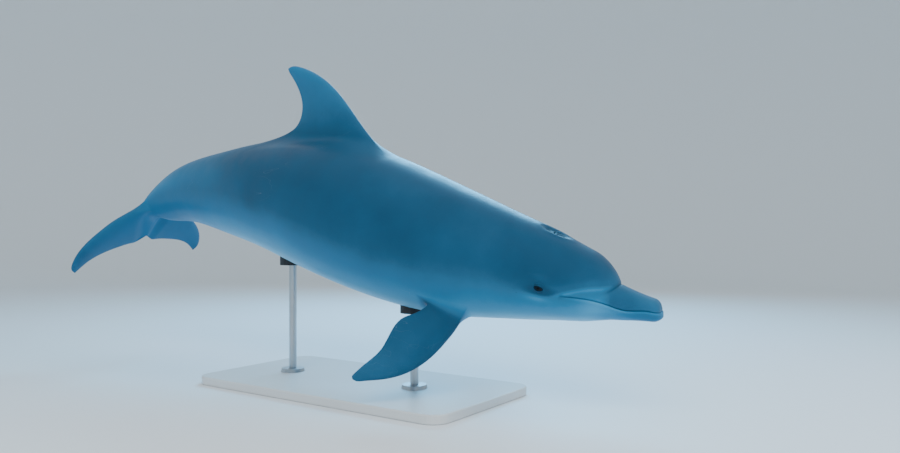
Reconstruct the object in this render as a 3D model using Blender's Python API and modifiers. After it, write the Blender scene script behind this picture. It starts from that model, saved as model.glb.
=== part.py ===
"""Bottlenose dolphin gliding downwards, a still life-size museum model on a plain display stand.

Lengths are in metres. The animal heads along +X with its left side towards +Y, +Z is up, and the
origin is the middle of the underside of the stand's base.

The body is a loft. Rings stand square to a spine that bends as the animal swims, and each ring is
a soft oval with its own height above the spine, depth below it and half-width, read from smooth
curves through a few named stations. The beak is a second, slimmer oval that runs out of the front
of the melon, so that a crease is left between the two. Fins, flippers and flukes are wing
sections carried between a leading and a trailing edge, and are cut where they meet the body.
Stations are shares of the body's length, counted from the tip of the upper jaw.
"""

import math

import bmesh
import bpy
import numpy as np
from mathutils import Matrix, Vector

# ---------------------------------------------------------------- driving dimensions
BODY_LENGTH = 2.50                      # tip of the upper jaw to the notch between the flukes
SNOUT_TIP = (1.070, 0.095, 0.330)       # place of the tip of the upper jaw
ROLL = math.radians(8.0)                # lean of the whole animal, right side down
GAP = 0.0003                            # clearance left between neighbouring pieces

# Head and trunk: station, height above the spine, depth below it, half-width.
TRUNK_STATIONS = (
    (0.040, 0.0430, 0.0180, 0.034),     # front of the melon
    (0.070, 0.0515, 0.0230, 0.042),     # middle of the melon
    (0.105, 0.0625, 0.0300, 0.050),     # corner of the mouth
    (0.145, 0.0738, 0.0400, 0.056),     # blowhole
    (0.190, 0.0815, 0.0524, 0.062),     # neck
    (0.240, 0.0880, 0.0668, 0.070),     # root of the flippers
    (0.320, 0.0966, 0.0834, 0.080),     # chest
    (0.420, 0.1042, 0.0918, 0.085),     # front of the dorsal fin
    (0.520, 0.1024, 0.0882, 0.079),     # middle of the dorsal fin
    (0.620, 0.0884, 0.0750, 0.064),     # belly, behind the dorsal fin
    (0.720, 0.0684, 0.0612, 0.046),     # vent
    (0.820, 0.0464, 0.0484, 0.029),     # tail stock
    (0.900, 0.0240, 0.0350, 0.021),     # root of the flukes
    (0.935, 0.0162, 0.0190, 0.021),     # broad and flat between the flukes
    (0.960, 0.0105, 0.0105, 0.018),     # middle of the flukes
    (0.975, 0.0066, 0.0066, 0.0115),    # thin rear of the flukes
    (0.990, 0.0026, 0.0030, 0.003),     # in front of the notch
)
MELON_FRONT = 0.0455                    # where the melon rises out of the beak
MELON_CROWN = 0.088                     # where it has its full section
MELON_FULLNESS = 2.2                    # 2 rises as a circle's arc does, more is blunter
MELON_SWEEP = 0.0060                    # how much further back it rises at the sides

# Beak: the same four values. Its rear stations lie inside the head.
BEAK_STATIONS = (
    (0.000, 0.0124, 0.0114, 0.0152),
    (0.020, 0.0156, 0.0138, 0.0168),
    (0.045, 0.0215, 0.0180, 0.0212),
    (0.070, 0.0262, 0.0198, 0.0350),
    (0.095, 0.0270, 0.0225, 0.0440),
    (0.125, 0.0240, 0.0230, 0.0460),
    (0.180, 0.0100, 0.0180, 0.0360),
)
BEAK_ROUNDING = 0.010                   # length over which the tip of the beak rounds off
BEAK_FULLNESS = 2.8

# Softness of the crease between beak and head, by the sine of the angle above the ring's side. It
# is a fold on top and wide at the cheeks, where the beak flares into the head.
CREASE_BLEND = ((-1.0, 0.009), (-0.5, 0.012), (0.0, 0.014), (0.3, 0.010), (0.6, 0.004), (1.0, 0.002))

LOWER_JAW_LEAD = 0.0016                 # how far the lower jaw stands ahead of the upper one
LOWER_JAW_LEAD_END = 0.045              # station where that lead has died out
UNDER_LIP_POWER = 0.35                  # how soon below the lips the lead is full

# Squareness of the rings: 2 is an ellipse, less at back and belly gives the tail stock its keels.
SIDE_ROUNDNESS = 2.1
KEEL_ROUNDNESS = ((0.00, 2.1), (0.55, 2.1), (0.80, 1.75), (1.00, 1.7))
BEAK_ROUNDNESS = 2.4
WAIST = 0.4                             # sine of the angle where the upper height is reached

# The pose: pitch of the spine, in degrees nose up, and turn of the head to the left.
PITCH = (
    (0.000, -9.0), (0.100, -10.4), (0.220, -16.6), (0.400, -16.5), (0.550, -10.6), (0.680, -5.4),
    (0.800, -1.2), (0.875, 11.1), (0.925, 31.4), (0.955, 57.0), (1.000, 57.0),
)
TURN = ((0.00, 5.3), (0.12, 5.3), (0.30, 1.9), (0.50, 0.0), (1.00, 0.0))

# Mouth: height of the closed lips above the spine. The line ends below the eye.
MOUTH_LINE = (
    (0.000, 0.0004), (0.010, 0.0020), (0.025, 0.0000), (0.038, -0.0014), (0.050, 0.0010),
    (0.061, 0.0052), (0.080, 0.0094), (0.106, 0.0088),
)
MOUTH_CORNER = 0.106

EYE_STATION = 0.132
EYE_ELEVATION = math.radians(14.0)      # above the side of the ring
EYE_RADIUS = 0.017
EYE_SINK = 0.012                        # depth of the ball's centre under the skin
BLOWHOLE_STATION = 0.140
BLOWHOLE_RADIUS = 0.021                 # radius of the crescent's arc
BLOWHOLE_BORE = 0.003                   # radius of the groove
BLOWHOLE_SWEEP = math.radians(150.0)    # turn of the crescent about its centre

# Fins: edge points as (out along the span, back along the chord).
DORSAL_FRONT = 0.425                    # stations whose surface points carry the fin's base line
DORSAL_REAR = 0.585
DORSAL_LEAD = (
    (-0.030, -0.070), (-0.004, -0.024), (0.022, 0.015), (0.056, 0.050), (0.084, 0.083),
    (0.1020, 0.119), (0.1084, 0.147), (0.1078, 0.164), (0.1040, 0.1710),
)
DORSAL_TRAIL = (
    (-0.030, 0.300), (-0.015, 0.252), (0.005, 0.187), (0.020, 0.155), (0.036, 0.144),
    (0.058, 0.1422), (0.080, 0.1522), (0.0945, 0.1644), (0.1004, 0.1694), (0.1040, 0.1710),
)
FLIPPER_LEAD = (
    (-0.045, -0.014), (-0.015, -0.0250), (0.016, -0.0330), (0.053, -0.0388), (0.087, -0.0356),
    (0.118, -0.0222), (0.136, -0.0105), (0.1428, -0.0050), (0.1445, -0.0010),
)
FLIPPER_TRAIL = (
    (-0.045, 0.016), (0.010, 0.016), (0.031, 0.0165), (0.052, 0.022), (0.070, 0.0180),
    (0.097, 0.0066), (0.124, 0.0046), (0.1385, 0.0034), (0.1435, 0.0018), (0.1445, -0.0010),
)
FLIPPER_STATION = 0.250
FLIPPER_DROP = math.radians(46.0)       # place of the root below the side of the ring
FLIPPER_ROOT_DEPTH = 0.97               # root's distance from the spine, as a share of the ring's
FLIPPER_SWEEP = math.radians(20.0)      # towards the tail
FLIPPER_TWIST = math.radians(33.5)      # leading edge turned down
FLIPPER_DROOP = {"right": math.radians(39.0), "left": math.radians(26.0)}
FLUKE_LEAD = (
    (0.000, -0.086), (0.020, -0.0776), (0.042, -0.0655), (0.068, -0.0515), (0.090, -0.034),
    (0.1088, -0.0155), (0.1218, 0.004), (0.1276, 0.023), (0.1264, 0.038), (0.1195, 0.0450),
)
FLUKE_TRAIL = (
    (0.000, -0.010), (0.008, 0.000), (0.020, 0.0015), (0.048, 0.006), (0.078, 0.0145),
    (0.100, 0.0260), (0.1195, 0.0450),
)
# Half-thickness at the root and at the tip, and how fast the one goes over into the other.
DORSAL_THICKNESS = (0.0120, 0.0020, 0.8)
FLIPPER_THICKNESS = (0.0120, 0.0015, 0.7)
FLUKE_THICKNESS = (0.0112, 0.0012, 0.8)
TRAILING_EDGE = 0.0008                  # half-thickness of every trailing edge, in metres

# Where the body is parted, and the number of rings in each length.
PARTINGS = {
    "neck": (0.165, 0.235, 6),
    "trunk_front": (0.235, 0.400, 10),
    "trunk_rear": (0.400, 0.600, 10),
    "tail_stock_front": (0.600, 0.780, 9),
    "tail_stock_rear": (0.780, 0.990, 14),
}
CREASE_STATION = 0.0485                 # parts the upper jaw from the head
SNOUT_START = 0.00005                   # the first ring, a hair behind the very tip
RING_POINTS = 30
JAW_RINGS = 8
HEAD_RINGS = 12
CROWDING = 1.8                          # how much closer the rings stand at the front of a length
FIN_ROWS = 14
FIN_COLUMNS = 9
BALL_SEGMENTS = 16
BALL_RINGS = 10

# Stand
BASE_SIZE = (1.10, 0.56, 0.030)
BASE_CORNER = 0.060
BASE_EDGE = 0.004
ROD_RADIUS = 0.014
ROD_STATIONS = {"front": 0.315, "rear": 0.560}
COLLAR_RADIUS = 0.045
COLLAR_HEIGHT = 0.012
COLLAR_TAPER = 0.92                     # radius at its top as a share of that at its foot
PAD_RADIUS = 0.048
PAD_DEPTH = 0.022                       # least height of the pad, under the lowest point above it
PAD_REACH = 0.12                        # height of the pad before the belly is cut out of it
ROUND_SEGMENTS = 36

SKIN_DARK = (0.030, 0.095, 0.155)
SKIN_MIDDLE = (0.055, 0.155, 0.245)
SKIN_PALE = (0.210, 0.400, 0.520)
SKIN_ROUGHNESS = 0.4
EYE_BLACK = (0.010, 0.012, 0.014)
BOARD_GREY = (0.60, 0.60, 0.58)
STEEL = (0.62, 0.63, 0.65)
PAD_BLACK = (0.03, 0.03, 0.03)


# ---------------------------------------------------------------- curves
def natural_spline(knots, values, places):
    """Natural cubic spline through (knot, value), read at the places."""
    knots = np.asarray(knots, float)
    values = np.asarray(values, float)
    count = len(knots)
    step = np.diff(knots)
    matrix = np.eye(count)
    right = np.zeros(count)
    for i in range(1, count - 1):
        matrix[i, i - 1] = step[i - 1]
        matrix[i, i] = 2.0 * (step[i - 1] + step[i])
        matrix[i, i + 1] = step[i]
        right[i] = 6.0 * ((values[i + 1] - values[i]) / step[i]
                          - (values[i] - values[i - 1]) / step[i - 1])
    bend = np.linalg.solve(matrix, right)
    places = np.clip(places, knots[0], knots[-1])
    i = np.clip(np.searchsorted(knots, places, side="right") - 1, 0, count - 2)
    before = places - knots[i]
    after = knots[i + 1] - places
    cubic = (bend[i] * after ** 3 + bend[i + 1] * before ** 3) / (6.0 * step[i])
    low = (values[i] / step[i] - bend[i] * step[i] / 6.0) * after
    high = (values[i + 1] / step[i] - bend[i + 1] * step[i] / 6.0) * before
    return cubic + low + high


def table_curve(table, places, column=1):
    """One column of a table of stations as a smooth curve."""
    rows = np.asarray(table, float)
    return natural_spline(rows[:, 0], rows[:, column], places)


def edge_curve(points, shares):
    """Smooth curve through plane points, read at shares of its length along the chords."""
    points = np.asarray(points, float)
    run = np.concatenate([[0.0], np.cumsum(np.linalg.norm(np.diff(points, axis=0), axis=1))])
    run /= run[-1]
    return np.stack([natural_spline(run, points[:, k], shares) for k in (0, 1)], axis=-1)


def dome(places, front, full, fullness):
    """Rises from 0 at the front to 1 at the full station along a rounded nose."""
    share = np.clip((places - front) / (full - front), 0.0, 1.0)
    return (1.0 - (1.0 - share) ** 2) ** (1.0 / fullness)


# ---------------------------------------------------------------- spine and rings
def spine_frames(samples=601):
    """Centres and the ahead, left and up directions along the spine, in the model's frame."""
    stations = np.linspace(0.0, 1.0, samples)
    pitch = np.radians(table_curve(PITCH, stations))
    turn = np.radians(table_curve(TURN, stations))
    ahead = np.stack([np.cos(pitch) * np.cos(turn), np.cos(pitch) * np.sin(turn), np.sin(pitch)],
                     axis=1)
    step = -ahead * BODY_LENGTH / (samples - 1)
    centre = np.zeros((samples, 3))
    centre[1:] = np.cumsum((step[1:] + step[:-1]) / 2.0, axis=0)
    left = np.stack([-np.sin(turn), np.cos(turn), np.zeros(samples)], axis=1)
    up = np.cross(ahead, left)
    roll = np.array(Matrix.Rotation(ROLL, 3, "X"))
    centre = centre @ roll.T + np.array(SNOUT_TIP)
    return stations, centre, ahead @ roll.T, left @ roll.T, up @ roll.T


SPINE = spine_frames()


def spine_at(places):
    """Centre, ahead, left and up at the given stations."""
    stations = SPINE[0]
    return [np.stack([np.interp(places, stations, field[:, k]) for k in range(3)], axis=-1)
            for field in SPINE[1:]]


def smooth(value, low, high):
    """Rises from 0 at low to 1 at high with flat ends."""
    share = np.clip((value - low) / (high - low), 0.0, 1.0)
    return share * share * (3.0 - 2.0 * share)


def oval(angles, sizes, side, keel):
    """Radius of a soft oval from its height above, depth below and half-width.

    Both the height and the roundness change smoothly round the ring.
    """
    above, below, half_width = sizes
    rise = np.sin(angles)
    height = below + (above - below) * smooth(rise, -WAIST, WAIST)
    power = side + (keel - side) * rise ** 4
    across = np.abs(np.cos(angles) / half_width) ** power
    return (across + np.abs(rise / height) ** power) ** (-1.0 / power)


def ring_radius(places, angles):
    """Distance from the spine to the skin. Angle 0 is the left side, 90 degrees is the back."""
    least = 1e-5
    rise = np.sin(angles)
    side = (1.0 - smooth(rise, 0.1, 0.95)) * smooth(rise, -0.6, 0.0)
    front = places - MELON_SWEEP * side
    melon = dome(front, MELON_FRONT, MELON_CROWN, MELON_FULLNESS)
    trunk = [table_curve(TRUNK_STATIONS, places, k) * melon + least for k in (1, 2, 3)]
    snout = dome(places, 0.0, BEAK_ROUNDING, BEAK_FULLNESS)
    beak = [table_curve(BEAK_STATIONS, places, k) * snout + least for k in (1, 2, 3)]
    outer = oval(angles, trunk, SIDE_ROUNDNESS, np.interp(places, *np.transpose(KEEL_ROUNDNESS)))
    outer = np.where(front < MELON_FRONT, 0.0, outer)
    inner = oval(angles, beak, BEAK_ROUNDNESS, BEAK_ROUNDNESS)
    inner = np.where(places > BEAK_STATIONS[-1][0], 0.0, inner)
    width = table_curve(CREASE_BLEND, rise)
    apart = np.clip((outer - inner) / width, -1.0, 1.0)
    return (np.maximum(outer, inner) + width * 0.25 * (1.0 - np.abs(apart)) ** 2) * BODY_LENGTH


def skin_point(places, angles, swell=0.0, lead=0.0):
    """Points of the skin, pushed out by swell and moved ahead by lead."""
    places, angles = np.broadcast_arrays(np.asarray(places, float), np.asarray(angles, float))
    radius = ring_radius(places, angles) + swell
    centre, ahead, left, up = spine_at(places)
    across = (radius * np.cos(angles))[..., None] * left
    return centre + across + (radius * np.sin(angles))[..., None] * up + np.asarray(lead) * ahead


def lip_angle(places, height):
    """Angle at which the left side of each ring is at the given height above the spine."""
    angle = np.zeros_like(places)
    steps = 12
    steepest = 0.9
    for _ in range(steps):
        sine = np.clip(height / ring_radius(places, angle), -steepest, steepest)
        angle = np.arcsin(sine)
    return angle


def full_rings(places, swell=0.0):
    """Whole rings at the stations."""
    angles = np.linspace(0.0, 2.0 * math.pi, RING_POINTS, endpoint=False)
    return skin_point(places[:, None], angles[None, :], swell)


def jaw_rings(places, upper):
    """Parts of rings above or below the lips. The straight side runs from lip to lip."""
    half_gap = GAP / 2.0 if upper else -GAP / 2.0
    lips = table_curve(MOUTH_LINE, places) * BODY_LENGTH + half_gap
    start = lip_angle(places, lips)
    finish = math.pi - start if upper else -math.pi - start
    share = np.linspace(0.0, 1.0, RING_POINTS // 2 + 1)
    angles = start[:, None] + (finish - start)[:, None] * share[None, :]
    if upper:
        return skin_point(places[:, None], angles)
    fade = np.clip(1.0 - places / LOWER_JAW_LEAD_END, 0.0, 1.0) ** 2
    under_lip = np.sin(math.pi * share) ** UNDER_LIP_POWER
    lead = LOWER_JAW_LEAD * BODY_LENGTH * fade[:, None] * under_lip[None, :]
    return skin_point(places[:, None], angles, 0.0, lead[..., None])


# ---------------------------------------------------------------- meshes
def finish(name, colour, roughness, metallic=0.0):
    """A plain Principled material."""
    material = bpy.data.materials.new(name)
    material.use_nodes = True
    shader = material.node_tree.nodes["Principled BSDF"]
    shader.inputs["Base Color"].default_value = (*colour, 1.0)
    shader.inputs["Roughness"].default_value = roughness
    shader.inputs["Metallic"].default_value = metallic
    material.diffuse_color = (*colour, 1.0)
    return material


def add_object(name, mesh, collection, material=None):
    """Puts a mesh into the collection as an object, shaded smooth between its sharp edges."""
    mesh.shade_smooth()
    mesh.set_sharp_from_angle(angle=math.radians(40.0))
    piece = bpy.data.objects.new(name, mesh)
    collection.objects.link(piece)
    if material is not None:
        mesh.materials.append(material)
    return piece


def loft(name, rings):
    """Closed mesh through rings of equal point count, with a flat face at each end."""
    count, width = rings.shape[:2]
    form = bmesh.new()
    rows = [[form.verts.new(point) for point in ring] for ring in rings]
    for i in range(count - 1):
        for j in range(width):
            k = (j + 1) % width
            # Every cell is split along the same diagonal, so that a grown copy stays parallel.
            form.faces.new((rows[i][j], rows[i][k], rows[i + 1][k]))
            form.faces.new((rows[i][j], rows[i + 1][k], rows[i + 1][j]))
    form.faces.new(rows[0])
    form.faces.new(rows[-1])
    bmesh.ops.remove_doubles(form, verts=form.verts[:], dist=1e-6)
    bmesh.ops.recalc_face_normals(form, faces=form.faces[:])
    mesh = bpy.data.meshes.new(name)
    form.to_mesh(mesh)
    form.free()
    return mesh


def primitive(name, maker, matrix, **sizes):
    """Mesh of one bmesh primitive at its place."""
    form = bmesh.new()
    maker(form, matrix=matrix, **sizes)
    mesh = bpy.data.meshes.new(name)
    form.to_mesh(mesh)
    form.free()
    return mesh


def cut(piece, cutter):
    """Takes the cutter out of the piece."""
    boolean = piece.modifiers.new("cut_" + cutter.name, "BOOLEAN")
    boolean.operation = "DIFFERENCE"
    boolean.object = cutter
    boolean.solver = "EXACT"


def add_cutter(name, mesh, collection):
    """Puts a cutter into its own collection, hidden from renders."""
    cutter = bpy.data.objects.new(name, mesh)
    cutter.display_type = "WIRE"
    cutter.hide_render = True
    collection.objects.link(cutter)
    return cutter


# ---------------------------------------------------------------- fins
def wing(name, lead, trail, thickness, origin, span, back):
    """Closed wing between two edges in the plane of span and back, thickest ahead of its middle.

    The section is the usual rounded-nose wing section. Rows crowd towards the tip, where they
    close on one point, and the trailing edge keeps a small thickness of its own.
    """
    shares = np.sin(np.linspace(0.0, math.pi / 2.0, FIN_ROWS))
    front = edge_curve(lead, shares) * BODY_LENGTH
    rear = edge_curve(trail, shares) * BODY_LENGTH
    chord = (1.0 - np.cos(np.linspace(0.0, math.pi, FIN_COLUMNS))) / 2.0
    section = (0.2969 * np.sqrt(chord) - 0.1260 * chord - 0.3516 * chord ** 2
               + 0.2843 * chord ** 3 - 0.1036 * chord ** 4) / 0.1
    root_half, tip_half, power = thickness
    half = (tip_half + (root_half - tip_half) * (1.0 - shares) ** power) * BODY_LENGTH
    plane = (front[:, None, :] * (1.0 - chord)[None, :, None]
             + rear[:, None, :] * chord[None, :, None])
    middle = origin + plane[..., :1] * span + plane[..., 1:] * back
    rise = half[:, None] * section[None, :] + TRAILING_EDGE * chord[None, :]
    rise[-1] = 0.0
    offset = rise[..., None] * np.cross(span, back)
    rings = np.concatenate([middle + offset, (middle - offset)[:, :0:-1]], axis=1)
    return loft(name, rings)


def unit(vector):
    """The vector at length one."""
    return vector / np.linalg.norm(vector)


def dorsal_fin_mesh():
    """The fin on the back, in the plane of symmetry."""
    top = skin_point(np.array([DORSAL_FRONT, DORSAL_REAR]), math.pi / 2.0)
    left = spine_at(DORSAL_FRONT)[2]
    back = unit(top[1] - top[0])
    span = unit(np.cross(left, back))
    return wing("dorsal_fin", DORSAL_LEAD, DORSAL_TRAIL, DORSAL_THICKNESS, top[0], span, back)


def flipper_mesh(side):
    """A flipper, held out, down and a little back, with its leading edge turned down."""
    sign = 1.0 if side == "left" else -1.0
    centre, ahead, left, up = spine_at(FLIPPER_STATION)
    angle = -FLIPPER_DROP if side == "left" else math.pi + FLIPPER_DROP
    root = centre + (skin_point(FLIPPER_STATION, angle) - centre) * FLIPPER_ROOT_DEPTH
    droop = FLIPPER_DROOP[side]
    outward = math.cos(droop) * left * sign - math.sin(droop) * up
    span = unit(math.cos(FLIPPER_SWEEP) * outward - math.sin(FLIPPER_SWEEP) * ahead)
    level = unit(-ahead + np.dot(ahead, span) * span)
    twist = FLIPPER_TWIST * sign
    back = math.cos(twist) * level + math.sin(twist) * np.cross(span, level)
    return wing("flipper_" + side, FLIPPER_LEAD, FLIPPER_TRAIL, FLIPPER_THICKNESS, root, span, back)


def fluke_mesh(side):
    """Half of the tail fin, level with the end of the spine."""
    centre, ahead, left, _ = spine_at(1.0)
    span = left if side == "left" else -left
    return wing("fluke_" + side, FLUKE_LEAD, FLUKE_TRAIL, FLUKE_THICKNESS,
                centre + span * GAP / 2.0, span, -ahead)


# ---------------------------------------------------------------- head
def crowded(start, end, count):
    """Stations from start to end, closer together at the start."""
    return start + (end - start) * np.linspace(0.0, 1.0, count) ** CROWDING


def gape_places():
    """Stations of the rings from the crease to the corner of the mouth, above and below it."""
    return crowded(CREASE_STATION + GAP / 2.0 / BODY_LENGTH, MOUTH_CORNER, HEAD_RINGS)


def head_rings():
    """Upper part of the head over the lower jaw, then whole rings behind the mouth's corner."""
    half_gap = GAP / 2.0 / BODY_LENGTH
    front = jaw_rings(gape_places(), upper=True)
    # The straight side from lip to lip gets as many points as the underside of a whole ring.
    fill = np.linspace(0.0, 1.0, RING_POINTS // 2 + 1)[1:-1]
    lips = front[:, -1:, :] * (1.0 - fill)[None, :, None] + front[:, :1, :] * fill[None, :, None]
    front = np.concatenate([front, lips], axis=1)
    start = lip_angle(np.array([MOUTH_CORNER]),
                      table_curve(MOUTH_LINE, np.array([MOUTH_CORNER])) * BODY_LENGTH + GAP / 2.0)[0]
    upper = np.linspace(start, math.pi - start, RING_POINTS // 2 + 1)
    lower = np.linspace(math.pi - start, 2.0 * math.pi + start, RING_POINTS // 2 + 1)[1:-1]
    angles = np.concatenate([upper, lower])
    places = np.linspace(MOUTH_CORNER, PARTINGS["neck"][0] - half_gap, HEAD_RINGS // 2)
    rear = skin_point(places[:, None], angles[None, :])
    return np.concatenate([front, rear])


def eye_centre(side):
    """Centre of an eyeball, under the skin along the skin's own normal."""
    angle = EYE_ELEVATION if side == "left" else math.pi - EYE_ELEVATION
    step = 0.004
    along = skin_point(EYE_STATION + step, angle) - skin_point(EYE_STATION - step, angle)
    around = skin_point(EYE_STATION, angle + step) - skin_point(EYE_STATION, angle - step)
    inward = unit(np.cross(along, around))
    centre = spine_at(EYE_STATION)[0]
    surface = skin_point(EYE_STATION, angle)
    if np.dot(inward, centre - surface) < 0.0:
        inward = -inward
    return Vector(surface + inward * EYE_SINK)


def blowhole_cutter_mesh():
    """Crescent groove, open towards the front, as a bent tube."""
    top = skin_point(BLOWHOLE_STATION, math.pi / 2.0)
    behind = skin_point(BLOWHOLE_STATION + 0.01, math.pi / 2.0)
    left = spine_at(BLOWHOLE_STATION)[2]
    back = unit(behind - top)
    curve = bpy.data.curves.new("blowhole_groove", "CURVE")
    curve.dimensions = "3D"
    curve.bevel_depth = BLOWHOLE_BORE
    curve.bevel_resolution = 1
    curve.use_fill_caps = True
    turns = np.linspace(-BLOWHOLE_SWEEP / 2.0, BLOWHOLE_SWEEP / 2.0, 9)
    line = curve.splines.new("POLY")
    line.points.add(len(turns) - 1)
    for point, turn in zip(line.points, turns):
        place = top + BLOWHOLE_RADIUS * (math.sin(turn) * left + (math.cos(turn) - 0.5) * back)
        point.co = (*place, 1.0)
    guide = bpy.data.objects.new("blowhole_groove", curve)
    bpy.context.scene.collection.objects.link(guide)
    graph = bpy.context.evaluated_depsgraph_get()
    mesh = bpy.data.meshes.new_from_object(guide.evaluated_get(graph))
    bpy.data.objects.remove(guide)
    form = bmesh.new()
    form.from_mesh(mesh)
    bmesh.ops.remove_doubles(form, verts=form.verts[:], dist=1e-5)
    bmesh.ops.recalc_face_normals(form, faces=form.faces[:])
    form.to_mesh(mesh)
    form.free()
    return mesh


def build_head(collection, cutters):
    """Both jaws, the head with its eye sockets and blowhole, and the eyes."""
    half_gap = GAP / 2.0 / BODY_LENGTH
    upper_places = crowded(SNOUT_START, CREASE_STATION - half_gap, JAW_RINGS)
    add_object("upper_jaw", loft("upper_jaw", jaw_rings(upper_places, upper=True)), collection,
               finish("upper_jaw", SKIN_MIDDLE, SKIN_ROUGHNESS))
    lower_places = np.concatenate([upper_places, gape_places()])
    lower_places[-1] -= 2.0 * half_gap
    add_object("lower_jaw", loft("lower_jaw", jaw_rings(lower_places, upper=False)), collection,
               finish("lower_jaw", SKIN_PALE, SKIN_ROUGHNESS))
    head = add_object("head", loft("head", head_rings()), collection,
                      finish("head", SKIN_MIDDLE, SKIN_ROUGHNESS))
    for side in ("right", "left"):
        place = Matrix.Translation(eye_centre(side))
        socket = primitive("socket_" + side, bmesh.ops.create_uvsphere, place,
                           u_segments=BALL_SEGMENTS, v_segments=BALL_RINGS,
                           radius=EYE_RADIUS + 2.0 * GAP)
        cut(head, add_cutter("socket_" + side, socket, cutters))
        ball = primitive("eye_" + side, bmesh.ops.create_uvsphere, place,
                         u_segments=BALL_SEGMENTS, v_segments=BALL_RINGS, radius=EYE_RADIUS)
        add_object("eye_" + side, ball, collection, finish("eye_" + side, EYE_BLACK, 0.1))
    cut(head, add_cutter("blowhole_groove", blowhole_cutter_mesh(), cutters))


# ---------------------------------------------------------------- trunk, fins and stand
def build_trunk(collection):
    """The lengths of the body behind the head."""
    half_gap = GAP / 2.0 / BODY_LENGTH
    for name, (start, end, count) in PARTINGS.items():
        places = np.linspace(start + half_gap, end - half_gap, count)
        add_object(name, loft(name, full_rings(places)), collection,
                   finish(name, SKIN_MIDDLE, SKIN_ROUGHNESS))


def body_cutter(cutters):
    """The whole body grown by the gap, which trims what is set against it."""
    half_gap = GAP / 2.0 / BODY_LENGTH
    lengths = [crowded(SNOUT_START, CREASE_STATION, JAW_RINGS),
               crowded(CREASE_STATION, MOUTH_CORNER, HEAD_RINGS),
               np.linspace(MOUTH_CORNER, PARTINGS["neck"][0], HEAD_RINGS // 2)]
    for start, end, count in PARTINGS.values():
        lengths.append(np.linspace(start + half_gap, end - half_gap, count))
    places = np.unique(np.concatenate(lengths))
    return add_cutter("body_form", loft("body_form", full_rings(places, GAP)), cutters)


def build_fins(collection, form):
    """Dorsal fin, flippers and flukes, trimmed to the body."""
    meshes = [dorsal_fin_mesh()]
    for side in ("right", "left"):
        meshes.append(flipper_mesh(side))
        meshes.append(fluke_mesh(side))
    for mesh in meshes:
        fin = add_object(mesh.name, mesh, collection,
                         finish(mesh.name, SKIN_DARK, SKIN_ROUGHNESS))
        cut(fin, form)


def upright(x, y, low, high):
    """Matrix of a cylinder primitive that stands between two heights."""
    return Matrix.Translation((x, y, (low + high) / 2.0))


def build_stand(collection, form):
    """A flat base with two rods, each with a collar at its foot and a pad under the belly."""
    size = BASE_SIZE
    matrix = Matrix.Translation((0.0, 0.0, size[2] / 2.0)) @ Matrix.Diagonal((*size, 1.0))
    mesh = primitive("stand_base", bmesh.ops.create_cube, matrix, size=1.0)
    plate = bmesh.new()
    plate.from_mesh(mesh)
    uprights = [edge for edge in plate.edges
                if abs(edge.verts[0].co.z - edge.verts[1].co.z) > size[2] / 2.0]
    bmesh.ops.bevel(plate, geom=uprights, offset=BASE_CORNER, segments=6, profile=0.5,
                    affect="EDGES")
    plate.to_mesh(mesh)
    plate.free()
    base = add_object("stand_base", mesh, collection, finish("stand_base", BOARD_GREY, 0.45))
    rounding = base.modifiers.new("edge", "BEVEL")
    rounding.width = BASE_EDGE
    rounding.segments = 2
    rounding.limit_method = "ANGLE"
    rounding.angle_limit = math.radians(60.0)
    for place, station in ROD_STATIONS.items():
        belly = skin_point(station, np.linspace(math.radians(220.0), math.radians(300.0), 81))
        x, y, lowest = belly[np.argmin(belly[:, 2])]
        floor = size[2] + GAP
        collar_top = floor + COLLAR_HEIGHT
        pad_low = lowest - PAD_DEPTH
        collar = primitive("stand_collar_" + place, bmesh.ops.create_cone,
                           upright(x, y, floor, collar_top), cap_ends=True, segments=ROUND_SEGMENTS,
                           radius1=COLLAR_RADIUS, radius2=COLLAR_RADIUS * COLLAR_TAPER,
                           depth=COLLAR_HEIGHT)
        add_object("stand_collar_" + place, collar, collection,
                   finish("stand_collar_" + place, STEEL, 0.3, 1.0))
        low = collar_top + GAP
        high = pad_low - GAP
        rod = primitive("stand_rod_" + place, bmesh.ops.create_cone, upright(x, y, low, high),
                        cap_ends=True, segments=ROUND_SEGMENTS, radius1=ROD_RADIUS,
                        radius2=ROD_RADIUS, depth=high - low)
        add_object("stand_rod_" + place, rod, collection,
                   finish("stand_rod_" + place, STEEL, 0.3, 1.0))
        reach = pad_low + PAD_REACH
        pad = primitive("stand_pad_" + place, bmesh.ops.create_cone,
                        upright(x, y, pad_low, reach), cap_ends=True,
                        segments=ROUND_SEGMENTS, radius1=PAD_RADIUS, radius2=PAD_RADIUS,
                        depth=reach - pad_low)
        saddle = add_object("stand_pad_" + place, pad, collection,
                            finish("stand_pad_" + place, PAD_BLACK, 0.7))
        cut(saddle, form)


def main():
    """Clears the scene and builds the model."""
    for old in list(bpy.data.objects):
        bpy.data.objects.remove(old)
    collection = bpy.data.collections.new("bottlenose_dolphin")
    cutters = bpy.data.collections.new("cutters")
    bpy.context.scene.collection.children.link(collection)
    bpy.context.scene.collection.children.link(cutters)
    form = body_cutter(cutters)
    build_head(collection, cutters)
    build_trunk(collection)
    build_fins(collection, form)
    build_stand(collection, form)


main()
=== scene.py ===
"""Finish of a life-size bottlenose dolphin model: one skin, two eyes, a display stand and a studio.

The skin is one closed net of quads. Rings of points stand round the spine from the tip of the beak
to the notch of the flukes, and blocks of cells are left out of that grid where something grows or
opens: the fins grow out of their blocks over a flared root, and the eyes, the blowhole, the ears
and the slits of the belly are rings of ellipses that close on the opening. Shallow relief is then
raised along the normals, and the markings are stored at the points.

The animal heads along +X with its left side towards +Y. Lengths are in metres, apart from the
body's own proportions, which are shares of its length counted from the tip of the upper jaw.
"""

import logging
import math
from dataclasses import dataclass, field, replace
from enum import Enum

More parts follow.
